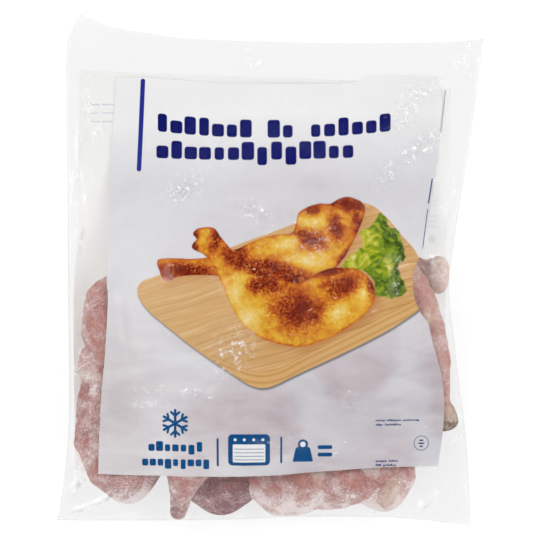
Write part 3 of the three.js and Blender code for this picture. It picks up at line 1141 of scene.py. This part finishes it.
def clear_film(film):
    """Clear film: it lets most light through, mirrors by angle, and is whiter where it is crinkled,
    with a fine crackle in its gloss. Painted glints lie along its crinkles, and painted light and
    shade lie along its folds, strongest where there is no print; it is also whiter at its rim."""
    shader = Shader("clear_film")
    place = shader.place()
    crackle = shader.noise(place, 2.6, 3.0, 0.6, 0.4)
    waves = shader.noise(place, 12.0, 2.0)
    crinkled = shader.attribute("crinkled")
    crumple = abs(shader.noise(place, 4.6, 2.0, 0.5, 0.8) - 0.5)
    normal = shader.bump(crackle * 0.03 + waves * 0.12 + crumple * crinkled * 4.6, 1.0, MM)
    slant = shader.node("ShaderNodeLayerWeight", inputs={"Blend": 0.5, "Normal": normal})
    mirrored = Number(shader, slant.outputs["Facing"]) ** 4 * 0.6 + crinkled * 0.03 + 0.007
    folded = shader.attribute("folded")
    # Painted light and shade along the folds: a grey from dark to white by how far each fold leans
    # to the upper left, turned white where painted glints lie
    painted_fold_levels = ((0.0, 0.30), (0.42, 0.62), (0.6, 0.9), (1.0, 1.0))
    painted_fold_shading = shader.ramp(folded * 0.5 + 0.5, grey_stops(painted_fold_levels))
    # Painted glints: thin white lines along the crinkles' creases, in broken patches, painted into
    # the film's white haze
    glints = (crumple * -13.0 + 1.0).clipped() * shader.noise(place, 5.0, 2.0).step(0.47, 0.60)
    painted_fold_shading = shader.mix((glints * 2.0).clipped(), painted_fold_shading, grey(1.0))
    # How much of the white haze shader shows: its own haze, the painted glints on crinkles, the
    # painted fold light and shade where there is no print, and a whiter rim at the seam
    white = crinkled * (glints * 0.75 + 0.01) + film.haze
    white = white + abs(folded) * (shader.attribute("bare") * 0.38 + 0.012)
    white = white + shader.attribute("rim") * 0.10
    clear = shader.node("ShaderNodeBsdfTransparent", inputs={"Color": opaque(film.tint)})
    # The haze shader's colour holds the painted fold light and shade and the painted glints
    haze = shader.principled(Base_Color=painted_fold_shading, Roughness=0.5, Specular_IOR_Level=0.1)
    gloss = shader.node(
        "ShaderNodeBsdfAnisotropic",
        inputs={"Color": (1.0, 1.0, 1.0, 1.0), "Roughness": 0.08, "Normal": normal},
    )
    body = shader.mix_shaders(white.clipped(), clear.outputs[0], haze)
    return shader.finish(shader.mix_shaders(mirrored.clipped(), body, gloss.outputs[0]))


def paint_roast(drawing, inks, name, tone):
    """A roast leg inside its stored outline. Its skin goes from cream through gold and amber to
    brown by a tone, by mottles, by speckles in the browned places and by how near its rim is."""
    shader, place = drawing.shader, drawing.place
    shape = shader.attribute(name) + shader.noise(place, 4.0, 2.0) * 1.1 - 0.55
    browned, pale = shader.attribute(name + "_browned"), shader.attribute(name + "_pale")
    mottle = shader.noise(place, 8.0, 4.0, 0.65, 0.5)
    speckle = shader.noise(place, 1.7, 3.0, 0.75).step(0.42, 0.58)
    rim = (shape * 0.36 + 1.0).clipped()
    amount = browned * (speckle * 0.46 + mottle * 0.34 + 0.16) + rim * rim * 0.20
    amount = amount + (mottle - 0.5) * 0.55 - pale * (mottle * 0.3 + 0.14) + tone
    amount = amount + (shader.noise(place, 3.2, 3.0, 0.6) - 0.5) * 0.34
    skin = shader.ramp(
        amount,
        [(0.0, (0.70, 0.56, 0.27)), (0.12, (0.66, 0.44, 0.10)), (0.28, inks.golden),
         (0.44, (0.50, 0.145, 0.016)), (0.62, (0.30, 0.040, 0.009)), (0.88, inks.roast)],
    )
    gleam = shader.noise(place, 2.4, 2.0).step(0.62, 0.72) * (1 - rim)
    gleam = gleam * shader.noise(place, 14.0, 1.0).step(0.46, 0.6)
    skin = shader.mix(gleam * 0.5, skin, (0.84, 0.66, 0.34))
    drawing.paint(shape, skin, soft=0.7)


def mixed(first, second, share):
    """A blend of two colour values."""
    return tuple((1 - share) * a + share * b for a, b in zip(tuple(first)[:3], tuple(second)[:3]))


def paint_board(drawing, inks):
    """A wooden board: a dark line of shade below it, near sides with lines along them, and a top
    whose grain runs up to the right."""
    shader, place = drawing.shader, drawing.place
    drawing.paint(shader.attribute("board_shade"), (0.115, 0.105, 0.125), soft=1.6, strength=0.85)
    top = shader.attribute("board_top")
    lines = abs((top * 0.62).math("SINE")) ** 5 * 0.55
    pale = mixed(inks.board, (0.80, 0.58, 0.30), 0.2)
    side = shader.mix(lines, pale, mixed(inks.board, (0.30, 0.12, 0.02), 0.6))
    drawing.paint(shader.attribute("board"), side, soft=0.6)
    run = drawing.x * 0.955 + drawing.y * 0.296
    across = drawing.y * 0.955 - drawing.x * 0.296
    waved = across + shader.noise(place, 70.0, 1.0) * 9.0 + shader.noise(place, 18.0, 1.0) * 0.4
    streaks = shader.node("ShaderNodeCombineXYZ", inputs={0: run * 0.045, 1: waved}).outputs[0]
    grain = shader.noise(streaks, 2.6, 3.0, 0.6)
    rings = abs((waved * 0.52).math("SINE")) ** 16 * shader.noise(streaks, 9.0, 1.0).step(0.3, 0.5)
    wood = shader.ramp(
        grain,
        [(0.3, mixed(inks.board, (0.46, 0.22, 0.06), 0.3)), (0.5, inks.board),
         (0.72, mixed(inks.board, (0.92, 0.72, 0.46), 0.35))],
    )
    wood = shader.mix(rings * 0.62, wood, (0.36, 0.16, 0.035))
    lit = (drawing.x * -0.0035 + drawing.y * 0.003 + 0.55).clipped()
    wood = shader.mix(lit * 0.5, wood, mixed(inks.board, (0.90, 0.74, 0.52), 0.4))
    drawing.paint(top, wood, soft=0.6)
    edge = (abs(top + 0.5) * -2.2 + 1.0).clipped()
    edge = edge * (shader.attribute("board") * -0.5 - 1.0).clipped()
    drawing.colour = shader.mix(edge * 0.6, drawing.colour, (0.42, 0.19, 0.045))
    for name, strength in (("back_shade", 0.35), ("front_shade", 0.6)):
        shade = (shader.attribute(name) * -0.11 + 0.45).clipped()
        shade = shade * (top * -0.4).clipped() * strength
        drawing.colour = shader.mix(shade, drawing.colour, (0.36, 0.115, 0.030))


def paint_leaf(drawing, inks):
    """A frilled salad leaf whose outline is shaken by noise. It is bright green at the right, pale
    at the left and in its ribs, and dark in its folds."""
    shader, place = drawing.shader, drawing.place
    frill = shader.noise(place, 3.4, 3.0, 0.6)
    shape = shader.attribute("leaf") + (frill * 4.4 - 2.2)
    folds = shader.noise(place, 8.5, 2.5, 0.55, 1.5)
    amount = folds * 1.5 - 0.14 + (drawing.x - 84.0) * 0.006
    amount = amount + shader.attribute("leaf_dark") * 0.22 - shader.attribute("leaf_pale") * 0.30
    green = shader.ramp(
        amount,
        [(0.0, (0.62, 0.58, 0.28)), (0.16, (0.46, 0.43, 0.05)), (0.36, (0.30, 0.33, 0.010)),
         (0.56, inks.leaf), (0.86, (0.022, 0.052, 0.002))],
    )
    ribs = (abs(shader.noise(place, 9.0, 1.0, 0.5, 1.2) - 0.5) * -26.0 + 1.0).clipped()
    green = shader.mix(ribs * 0.24, green, (0.56, 0.54, 0.12))
    drawing.paint(shape, green, soft=0.8)


def paint_snowflake(drawing, middle, radius, ink):
    """A snowflake of three crossing lines with a forked tip at each of their six ends."""
    lines = []
    for turn in (90, 30, -30):
        angle = np.radians(turn)
        way = np.array([np.cos(angle), np.sin(angle)])
        ends = [tuple(np.array(middle) + side * radius * way) for side in (-1, 1)]
        lines.append(drawing.segment(*ends, 1.05))
        for side in (-1, 1):
            root = np.array(middle) + side * 0.58 * radius * way
            for fork in (-1, 1):
                lean = angle + fork * np.radians(48)
                tip = root + side * 0.42 * radius * np.array([np.cos(lean), np.sin(lean)])
                lines.append(drawing.segment(tuple(root), tuple(tip), 0.95))
    drawing.paint(united(lines), ink)


def paint_oven(drawing, middle, ink, paper):
    """An oven pictogram: a dark front with four knobs and a pale window with shelf lines."""
    x, y = middle
    drawing.paint(drawing.box(middle, (16.0, 12.2), 3.4), ink)
    drawing.paint(drawing.box((x, y - 2.6), (12.4, 7.0), 0.8), paper)
    levels = (-7.6, -4.8, -2.0, 0.8)
    shelves = united([drawing.box((x, y + level), (11.2, 0.35)) for level in levels])
    for knob in (-10.6, -3.6, 3.6, 10.6):
        drawing.paint(drawing.ellipse((x + knob, y + 8.0), (1.1, 1.1)), paper)
    drawing.paint(shelves, ink, soft=0.25)


def paint_weight(drawing, middle, ink, paper):
    """A scale weight pictogram: a block that narrows upwards, with a ring on top, and two bars."""
    x, y = middle
    body = [(x - 8, y - 8), (x - 5.4, y + 3.5), (x + 5.4, y + 3.5), (x + 8, y - 8)]
    drawing.paint(drawing.ellipse((x, y + 5.6), (4.0, 4.0)), ink)
    drawing.paint(drawing.ellipse((x, y + 5.6), (2.1, 2.1)), paper)
    drawing.paint(drawing.corners(body, 1.2), ink)
    bars = [drawing.box((x + 17, y + level), (5.6, 1.5), 1.2) for level in (-2.6, 3.2)]
    drawing.paint(united(bars), ink)


def front_ink(inks):
    """The front panel: a white ground with painted shade, a navy bar and rows, a pictured board with
    two roast legs and a leaf, and a line of blue pictograms. It reads the place as seen from above."""
    shader = Shader("front_panel_ink")
    place = shader.place()
    mottled = shader.noise(place, 60.0, 2.0)
    ground = shader.mix(mottled, inks.white, mixed(inks.white, (1.0, 1.0, 1.0), 0.22))
    across, level, _ = shader.parts(place)
    # Painted shade on the white ground: darker by the levels up the panel, towards the right low
    # down and where meat lies close behind, with soft bands of painted fold shade low down; the
    # shade is cool above and pinker over meat
    behind = shader.attribute("backed")
    shade = Number(shader, shader.ramp(level / 320 + 0.5, grey_stops(PANEL_SHADE)))
    low = level.step(-10.0, -70.0)
    shade = shade + (behind - 0.5) * (low * 0.13 + 0.05)
    shade = shade + across.step(-110.0, 40.0) * (low * 0.19 + 0.09) - 0.09
    painted_fold_bands = shader.vector("MULTIPLY", place, (0.34, 1.0, 0.0))
    painted_fold_bands = shader.noise(painted_fold_bands, 12.0, 3.0, 0.55, 0.6)
    shade = shade * (shader.noise(place, 21.0, 3.0, 0.6) * 0.5 + 0.75)
    shade = shade + (painted_fold_bands - 0.5) * (low * 0.42 + 0.12)
    cool_shade = mixed(inks.backed, (0.42, 0.42, 0.47), 0.7)
    shade_tone = shader.mix(behind * (low * 0.85 + 0.15), cool_shade, inks.backed)
    ground = shader.mix(shade.clipped(), ground, shade_tone)
    drawing = Drawing(shader, place, ground)
    # The bar's ink is a lighter navy that also stands in for a painted sheen of glints over it
    bar = drawing.segment((-99.3, 147.4), (-102.2, 78.5), 1.8)
    drawing.paint(bar, mixed(inks.navy, (0.025, 0.036, 0.32), 0.6))
    drawing.paint(united([drawing.blocks(*row) for row in TITLE_ROWS]), inks.navy)
    paint_board(drawing, inks)
    paint_roast(drawing, inks, "back", 0.34)
    paint_leaf(drawing, inks)
    paint_roast(drawing, inks, "front", 0.315)
    paint_snowflake(drawing, (-72.9, -117.6), 10.0, inks.blue)
    rows = [drawing.blocks(*row) for row in SMALL_ROWS]
    rows = rows + [drawing.box(middle, half, 0.7) for middle, half in UPRIGHT_LINES]
    drawing.paint(united(rows), inks.blue)
    paint_oven(drawing, (-16.2, -137.4), inks.blue, inks.white)
    paint_weight(drawing, (25.0, -139.2), inks.blue, inks.white)
    notes = [drawing.blocks(*row) for row in NOTE_ROWS]
    notes.append(abs(drawing.ellipse((116.6, -133.6), (5.6, 5.6))) - 0.25)
    for level, half in ((-131.4, 1.6), (-133.8, 2.2), (-136.2, 1.2)):
        notes.append(drawing.box((116.6, level), (half, 0.55), 0.4))
    notes.append(drawing.segment((126.2, 71.0), (123.0, 52.0), 0.5))
    notes.append(drawing.segment((122.2, 47.0), (117.2, 14.0), 0.3))
    drawing.paint(united(notes), mixed(inks.blue, inks.navy, 0.5), soft=0.3)
    normal = shader.bump(shader.noise(place, 7.0, 2.0), 0.12, 0.0006)
    surface = shader.principled(
        Base_Color=drawing.colour, Roughness=0.5, Specular_IOR_Level=0.0, Alpha=inks.cover,
        Normal=normal,
    )
    return shader.finish(surface)


def back_ink(inks):
    """The back panel: a white ground with painted shade that darkens it towards the top, rows of
    small blocks, a table and thin blue rules.
    """
    shader = Shader("back_panel_ink")
    place = shader.place()
    mottled = shader.noise(place, 50.0, 2.0)
    warm = mixed(inks.white, (0.98, 0.96, 0.925), 0.9)
    ground = shader.mix(mottled, warm, mixed(warm, (1.0, 1.0, 1.0), 0.25))
    right, level, _ = shader.parts(place)
    # Painted shade: the ground darkens towards the top
    ground = shader.mix(level.step(0.0, 110.0) * 0.5, ground, (0.56, 0.56, 0.56))
    thin = right.step(108.0, 124.0) * level.step(100.0, 70.0) * -0.6 + 1.0
    drawing = Drawing(shader, place, ground)
    levels = (129.0, 122.3, 115.6)
    rows = [drawing.blocks((-140.0, y), 11, 0.8, 1.7, [4], y) for y in levels]
    drawing.paint(united(rows), (0.26, 0.24, 0.42), strength=0.7)
    table = [abs(drawing.box((0.0, -60.0), (90.0, 60.0), 2.0)) - 0.4]
    for row in range(5):
        y = 20.0 * row
        table.append(drawing.box((0.0, y - 100.0), (90.0, 0.3)))
        count = 13 + 2 * (row % 3)
        table.append(drawing.blocks((-84.0, y - 109.0), count, 3.2, 4.4, [6], 2.0 + row))
    for row in range(4):
        start, count = (-90.0, 120.0 - 14.0 * row), 34 - 5 * (row % 2)
        table.append(drawing.blocks(start, count, 4.2, 5.0, [5, 12, 20], 11.0 + row))
    table.append(drawing.segment((136.5, 140.0), (133.2, 108.0), 0.55))
    for y, half in ((54.0, 4.4), (50.0, 3.0), (42.0, 4.8), (38.0, 4.8), (34.0, 4.8)):
        table.append(drawing.box((126.0, y), (half, 0.7), 0.5))
    table.append(drawing.ellipse((126.0, 24.0), (3.4, 2.6), 90.0))
    drawing.paint(united(table), inks.blue, strength=0.8)
    surface = shader.principled(
        Base_Color=drawing.colour, Roughness=0.5, Specular_IOR_Level=0.0,
        Alpha=thin * inks.thin_cover,
    )
    return shader.finish(surface)


def chicken(meat):
    """Raw chicken: skin, meat and fat in blotches that follow what is stored on the mesh, veins
    and spots of dark red, pimpled skin, and frost on top that is rougher than the wet skin."""
    shader = Shader("raw_chicken")
    place = shader.place()
    red = shader.attribute("red")
    frosted = shader.attribute("frosted")
    bone = shader.attribute("bone")
    fatty = shader.attribute("fatty")
    blotches = shader.noise(place, 5.5, 4.0, 0.66, 0.3)
    mottle = shader.noise(place, 1.6, 4.0, 0.7, 0.2)
    amount = (blotches * 0.85 + mottle * 0.95 + red * 0.80 - 0.85).clipped()
    colour = shader.ramp(
        amount,
        [(0.06, meat.skin), (0.40, mixed(meat.skin, meat.meat, 0.55)), (0.64, meat.meat),
         (0.98, mixed(meat.meat, meat.dark, 0.9))],
    )
    spots = shader.noise(place, 2.0, 2.0, 0.5).step(0.62, 0.70)
    spots = spots * shader.noise(place, 15.0, 1.0).step(0.46, 0.6)
    colour = shader.mix(spots * 0.8, colour, (0.23, 0.045, 0.040))
    fat_patches = (shader.noise(place, 16.0, 3.0, 0.6) + fatty * 0.45 - red * 0.1).step(0.62, 0.8)
    colour = shader.mix(fat_patches * 0.8, colour, meat.fat)
    gristle = shader.ramp(
        shader.noise(place, 4.0, 3.0),
        [(0.30, (0.52, 0.35, 0.31)), (0.5, (0.64, 0.50, 0.43)), (0.7, (0.74, 0.65, 0.57))],
    )
    colour = shader.mix(bone, colour, gristle)
    cut = shader.ramp(
        shader.noise(place, 3.0, 3.0, 0.6),
        [(0.42, meat.brown), (0.58, mixed(meat.brown, meat.fat, 0.35)), (0.75, meat.fat)],
    )
    colour = shader.mix((shader.attribute("browned") * 1.2).clipped(), colour, cut)
    crystals = shader.noise(place, 1.5, 3.0, 0.7)
    rime = shader.noise(place, 12.0, 4.0, 0.62, 0.4) + crystals * 0.85 + frosted * 0.40
    rime = rime.step(0.92, 1.42) * (shader.attribute("browned") * -0.9 + 1.0).clipped()
    colour = shader.mix(rime * 0.85, colour, meat.frost)
    colour = shader.mix(rime.step(0.75, 1.0) * 0.45, colour, (0.80, 0.76, 0.76))
    specks = shader.noise(place, 1.1, 2.0, 0.6).step(0.68, 0.76) * (frosted + 0.3).clipped()
    colour = shader.mix(specks * 0.6, colour, (0.80, 0.74, 0.72))
    pimples = shader.cells(place, 2.6)
    height = (1 - pimples).clipped() * 0.3 + mottle * 0.8 + crystals * rime * 0.8
    normal = shader.bump(height, 0.5, 0.0011)
    roughness = rime * 0.3 + mottle * 0.2 + 0.42
    surface = shader.principled(
        Base_Color=colour, Roughness=roughness, Normal=normal, Specular_IOR_Level=0.3,
        Subsurface_Weight=0.12, Subsurface_Scale=0.006, Subsurface_Radius=(1.0, 0.35, 0.25),
    )
    return shader.finish(surface)


def studio_floor(colour, glow):
    """A pale, even floor, lit a little from below as on a light table."""
    shader = Shader("studio_floor")
    surface = shader.principled(
        Base_Color=opaque(colour), Roughness=0.9, Emission_Color=opaque(grey(1.0)),
        Emission_Strength=glow,
    )
    return shader.finish(surface)


def leg_rings(leg, number, share, phi):
    """A leg quarter's smooth rings as points, their outward directions and half thickness. A ring
    is a flattened round whose sides swell with the muscles, and that bulges where the bulges
    table says so."""
    middle, heading = leg_line(leg, share)
    wide, thick = (sizes[:, None] for sizes in leg_sizes(leg, share))
    sideways = np.cross(heading, (0, 0, 1.0))
    sideways = sideways / np.linalg.norm(sideways, axis=-1, keepdims=True)
    upwards = np.cross(sideways, heading)
    a, cosine, sine = share[:, None], np.cos(phi), np.sin(phi)
    lobes = 1 - 0.05 * (1 - np.cos(3 * phi + 1.3 * number + 5 * a)) * bell(a, 0.3, 0.3)
    knuckle = 1 - 0.07 * (1 + np.cos(2 * phi + number)) * bell(a, 0.97, 0.04)
    shank = 1 - 0.05 * (1 + np.sin(2 * phi + 2 * number)) * bell(a, 0.8, 0.1)
    scale = lobes * knuckle * shank
    side, at, spread, height = BULGES.get(number, NO_BULGE)
    bulge = side * height * bell(a, at, spread) * np.maximum(side * cosine, 0.0)

    def turned(level, rise):
        return sideways[:, None] * level[..., None] + upwards[:, None] * rise[..., None]

    points = middle[:, None] + turned(wide * cosine * scale + bulge, thick * sine * scale)
    outward = turned(cosine / np.maximum(wide, 1), sine / np.maximum(thick, 1))
    outward = outward / np.linalg.norm(outward, axis=-1, keepdims=True)
    return points, outward, thick, heading


def leg_relief(points, number, a, phi):
    """How deep lumps, folds and the knee's groove press a leg quarter in, beside its relief."""
    seed = 100 * number
    body = smooth(0.0, 0.06, a) * smooth(1.0, 0.95, a)
    lumps = np.maximum(0.30 - 0.6 * layered(points, 19.0, seed + 1), 0.0)
    lumps = lumps + np.maximum(0.14 - 0.3 * layered(points, 6.0, seed + 2), 0.0)
    lumps = lumps + 0.3 * ridged(points, 9.0, seed + 4)
    folds = ridged(points * (1, 1, 0.7), 26.0, seed + 3, 1) * bell(a, 0.36, 0.3)
    knee_groove = bell(a, 0.54 + 0.03 * np.sin(phi), 0.028) * smooth(-0.4, 0.7, np.sin(phi + 0.6))
    return (lumps + 0.75 * folds + 0.9 * knee_groove) * body


def leg_tones(leg, number, points, a):
    """What a leg quarter's colours follow: how red, frosted, bony, fatty and browned it is. Frost
    lies thicker at the bag's bottom end, and thinner on a thin knuckle."""
    seed = 100 * number
    red = leg.red + 0.35 * layered(points, 30.0, seed + 5) + 0.5 * smooth(0.08, 0.0, a)
    red = red + 0.7 * (1 - leg.knuckle) * smooth(0.82, 0.97, a)
    frosted = leg.frost + 0.45 * layered(points, 26.0, seed + 7)
    low_end = smooth(-160.0, -182.0, points[..., 1])
    frosted = frosted + 0.75 * min(1.0, 2.4 * leg.frost) * low_end
    frosted = frosted - 1.6 * (1 - min(1.0, leg.knuckle)) * smooth(0.86, 0.97, a)
    full = min(1.0, max(0.0, 2 * leg.knuckle - 1))
    bone = full * smooth(0.95, 0.985, a)
    fatty = full * smooth(0.84, 0.95, a) + 0.6 * bell(a, 0.5, 0.06)
    browned = leg.brown * smooth(0.86, 0.97, a) * (0.75 + 0.5 * noise(points, 6.0, seed + 9))
    return {"red": red, "frosted": frosted, "bone": bone, "fatty": fatty, "browned": browned}


def tube_mesh(share):
    """Faces and corner UVs of rings of points closed by a point at both ends. The first end's
    point comes after all rings, and the last end's after that."""
    rings, around = len(share), RING_POINTS
    first_tip, last_tip, last_ring = rings * around, rings * around + 1, (rings - 1) * around
    j = np.arange(around)
    after = (j + 1) % around
    base = np.arange(rings - 1)[:, None] * around
    quads = np.stack([base + j, base + after, base + around + after, base + around + j], axis=-1)
    first = np.stack([after, j, np.full(around, first_tip)], axis=-1)
    last = np.stack([last_ring + j, last_ring + after, np.full(around, last_tip)], axis=-1)
    u, next_u, v = j / around, (j + 1) / around, share[:, None]
    corners = np.broadcast_arrays(u, v[:-1], next_u, v[:-1], next_u, v[1:], u, v[1:])
    zero, one, middle = np.zeros(around), np.ones(around), (u + next_u) / 2
    first_uvs = np.stack([next_u, share[0] * one, u, share[0] * one, middle, zero], axis=-1)
    last_uvs = np.stack([u, share[-1] * one, next_u, share[-1] * one, middle, one], axis=-1)
    faces = quads.reshape(-1, 4).tolist() + first.tolist() + last.tolist()
    quad_uvs = np.stack(corners, axis=-1)
    return faces, np.concatenate([quad_uvs.ravel(), first_uvs.ravel(), last_uvs.ravel()])


def leg_quarter(leg, number, relief):
    """One leg quarter as points, faces, corner UVs and stored values. Rings run along its bend,
    closer at its ends, and noise, folds and grooves press them in along their normals, so that it
    stays inside its smooth form."""
    eased = 0.5 - 0.5 * np.cos(np.linspace(0, np.pi, RINGS + 2)[1:-1])
    share = 0.35 * eased + 0.65 * np.linspace(0, 1, RINGS + 2)[1:-1]
    a, phi = share[:, None], np.linspace(0, 2 * np.pi, RING_POINTS, endpoint=False)[None, :]
    points, outward, thick, heading = leg_rings(leg, number, share, phi)
    skin_edge = smooth(-0.6, 0.6, np.sin(phi - 0.8)) * bell(a, 0.885, 0.016)
    depth = relief * leg_relief(points, number, a, phi) + 1.4 * skin_edge
    points = points - outward * (depth * (0.25 + 0.75 * smooth(2.0, 16.0, thick)))[..., None]
    hip, ankle = (leg_line(leg, [end])[0][0] for end in (0.0, 1.0))
    values = {}
    for key, grid in leg_tones(leg, number, points, a).items():
        flat = np.broadcast_to(grid, (RINGS, RING_POINTS)).ravel()
        values[key] = np.concatenate([flat, flat[[0, -1]]])
    faces, uvs = tube_mesh(share)
    return np.vstack([points.reshape(-1, 3), hip, ankle - heading[-1] * 1.5]), faces, uvs, values


class CHICKENBAG_OT_leg_quarters(bpy.types.Operator):
    """Makes the ten frozen leg quarters in the bag."""

    bl_idname = "chickenbag.leg_quarters"
    bl_label = "Leg quarters"

    def execute(self, context):
        meat = context.scene.chicken_bag_meat
        material = chicken(meat)
        front, back = film_of(context.scene.chicken_bag_film)[:2]
        for number, leg in enumerate(LEG_QUARTERS, start=1):
            points, faces, uvs, values = leg_quarter(leg, number, meat.relief)
            points = between_sheets(points, front, back)
            new_piece(
                f"leg_quarter_{number:02d}", points, faces, material, uvs, values
            )
        return {"FINISHED"}


class CHICKENBAG_OT_film(bpy.types.Operator):
    """Makes the bag's clear film as one closed shell that stands for the solid bag."""

    bl_idname = "chickenbag.film"
    bl_label = "Clear film"

    def execute(self, context):
        film = context.scene.chicken_bag_film
        columns, rows = film.columns, film.rows
        front, back, _, stored = film_of(film)
        inner = np.zeros((rows + 1, columns + 1), bool)
        inner[1:-1, 1:-1] = True
        count = front.shape[0] * front.shape[1]
        back_number = np.arange(count).reshape(inner.shape)
        back_number[inner] = count + np.arange(inner.sum())
        front_faces = sheet_corners(columns, rows)
        back_faces = back_number.ravel()[front_faces][:, ::-1]
        points = np.vstack([front.reshape(-1, 3), back[inner]])
        across, along = share_grids(columns, rows)
        shares = np.dstack([across, along]).reshape(-1, 2)
        front_uvs = shares[front_faces] * (0.5, 1.0)
        back_uvs = (shares[front_faces] * (0.5, 1.0) + (0.5, 0.0))[:, ::-1]
        rest = np.zeros(inner.sum())
        values = {key: np.concatenate([grid.ravel(), rest]) for key, grid in stored.items()}
        piece = new_piece(
            "clear_film_bag",
            points,
            front_faces.tolist() + back_faces.tolist(),
            clear_film(film),
            np.concatenate([front_uvs.ravel(), back_uvs.ravel()]),
            values,
        )
        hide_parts("bag")
        return {"FINISHED"}


def add_panel(name, edges, sheet, normals, material, form):
    """A printed panel: a grid over its outline, laid on a sheet of film and moved off it along
    the film's normals by a gap in millimetres. The front one stores what its picture is drawn
    from, and how close the meat behind it is, as a share that fades with distance, blurred."""
    gap, columns, rows, facing = form
    across, along = share_grids(columns, rows)
    plan = patch(edges, across, along)
    bag_across, bag_along = bag_shares(plan)
    points = resampled(sheet, bag_across, bag_along)
    points = points + gap * resampled(normals, bag_across, bag_along)
    faces = sheet_corners(columns, rows)
    uvs = np.dstack([across, along]).reshape(-1, 2)[faces]
    if facing < 0:
        faces, uvs = faces[:, ::-1], uvs[:, ::-1]
    values = {}
    if facing > 0:
        values = picture_fields(plan)
        top = legs_top(points[..., :2], 0.0)
        space = points[..., 2] - np.where(top > 0, top, NO_MEAT)
        # How close meat lies behind the front print, which its ink turns into a pink tint and
        # painted shade
        values["backed"] = blurred(np.exp(-np.maximum(space, 0.0) / MEAT_FADE), BLUR_PASSES)
    return new_piece(name, points, faces.tolist(), material, uvs, values)


class CHICKENBAG_OT_printed_panels(bpy.types.Operator):
    """Makes the printed panels on the inner side of the front and back film."""

    bl_idname = "chickenbag.printed_panels"
    bl_label = "Printed panels"

    def execute(self, context):
        film, inks = context.scene.chicken_bag_film, context.scene.chicken_bag_print
        front, back, normals, _ = film_of(film)
        add_panel(
            "front_print", FRONT_PANEL_EDGES, front, normals, front_ink(inks), FRONT_PANEL
        )
        add_panel(
            "back_print", BACK_PANEL_EDGES, back, grid_normals(back), back_ink(inks), BACK_PANEL
        )
        return {"FINISHED"}


class CHICKENBAG_OT_stage(bpy.types.Operator):
    """Makes the floor, the soft light and the camera that looks straight down."""

    bl_idname = "chickenbag.stage"
    bl_label = "Stage"

    def execute(self, context):
        studio = context.scene.chicken_bag_studio
        scene = context.scene
        mesh = bpy.data.meshes.new("studio_floor")
        corners = [(x * FLOOR_SIZE, y * FLOOR_SIZE, FLOOR_LEVEL) for x, y in FLOOR_CORNERS]
        mesh.from_pydata(corners, [], [(0, 1, 2, 3)])
        mesh.materials.append(studio_floor(studio.floor, studio.glow))
        floor = bpy.data.objects.new("studio_floor", mesh)
        scene.collection.objects.link(floor)
        world = bpy.data.worlds.new("soft_white")
        world.use_nodes = True
        sky = Shader("sky", world.node_tree)
        _, _, level = sky.parts(sky.node("ShaderNodeTexCoord").outputs["Generated"])
        light = sky.ramp(level, grey_stops(SKY_LEVELS))
        lit = sky.node("ShaderNodeBackground", inputs={"Color": light, "Strength": studio.sky})
        sky.node("ShaderNodeOutputWorld", inputs={"Surface": lit.outputs[0]})
        scene.world = world
        self.add_light("key_soft_box", (-0.95, 0.45, 1.15), (0.014, 1.2), studio.key)
        self.add_light("fill_soft_box", (1.0, 0.5, 1.1), (0.014, 1.2), studio.fill)
        self.add_light("low_soft_box", (0.15, -1.05, 1.2), (0.9, 0.012), LOW_LIGHT * studio.fill)
        camera = bpy.data.objects.new("camera", bpy.data.cameras.new("camera"))
        camera.data.sensor_width = SENSOR_WIDTH
        camera.data.lens = SENSOR_WIDTH * studio.camera_height / studio.view_width
        camera.data.clip_end = CAMERA_REACH
        camera.location = (CAMERA_X, 0.0, studio.camera_height)
        scene.collection.objects.link(camera)
        scene.camera = camera
        scene.view_settings.view_transform = "Standard"
        scene.view_settings.look = "None"
        return {"FINISHED"}

    @staticmethod
    def add_light(name, place, size, power):
        """A rectangular soft box that faces the bag."""
        data = bpy.data.lights.new(name, "AREA")
        data.shape = "RECTANGLE"
        data.size, data.size_y = size
        data.energy = power
        light = bpy.data.objects.new(name, data)
        light.location = place
        light.rotation_mode = "QUATERNION"
        light.rotation_quaternion = (-light.location).to_track_quat("-Z", "Y")
        bpy.context.scene.collection.objects.link(light)


class CHICKENBAG_PT_panel(bpy.types.Panel):
    """Lists the operators and their settings in the 3D view's sidebar."""

    bl_idname = "CHICKENBAG_PT_panel"
    bl_label = "Chicken bag"
    bl_space_type = "VIEW_3D"
    bl_region_type = "UI"
    bl_category = "Chicken bag"

    def draw(self, context):
        for operator in OPERATORS:
            self.layout.operator(operator.bl_idname)
        for group, name in zip(GROUPS, GROUP_NAMES):
            box = self.layout.box()
            for key in group.__annotations__:
                box.prop(getattr(context.scene, name), key)


GROUPS = (ChickenBagFilm, ChickenBagPrint, ChickenBagMeat, ChickenBagStudio)
GROUP_NAMES = (
    "chicken_bag_film", "chicken_bag_print", "chicken_bag_meat", "chicken_bag_studio",
)
OPERATORS = (
    CHICKENBAG_OT_stage,
    CHICKENBAG_OT_leg_quarters,
    CHICKENBAG_OT_film,
    CHICKENBAG_OT_printed_panels,
)


def register():
    """Registers the classes and gives the scene its settings."""
    for made in (*GROUPS, *OPERATORS, CHICKENBAG_PT_panel):
        bpy.utils.register_class(made)
    for group, name in zip(GROUPS, GROUP_NAMES):
        setattr(bpy.types.Scene, name, PointerProperty(type=group))


def unregister():
    """Takes the settings and the classes away again."""
    for name in GROUP_NAMES:
        delattr(bpy.types.Scene, name)
    for made in reversed((*GROUPS, *OPERATORS, CHICKENBAG_PT_panel)):
        bpy.utils.unregister_class(made)


def main():
    """Makes the stage and every piece."""
    register()
    bpy.ops.chickenbag.stage()
    bpy.ops.chickenbag.leg_quarters()
    bpy.ops.chickenbag.film()
    bpy.ops.chickenbag.printed_panels()


if __name__ == "__main__":
    main()
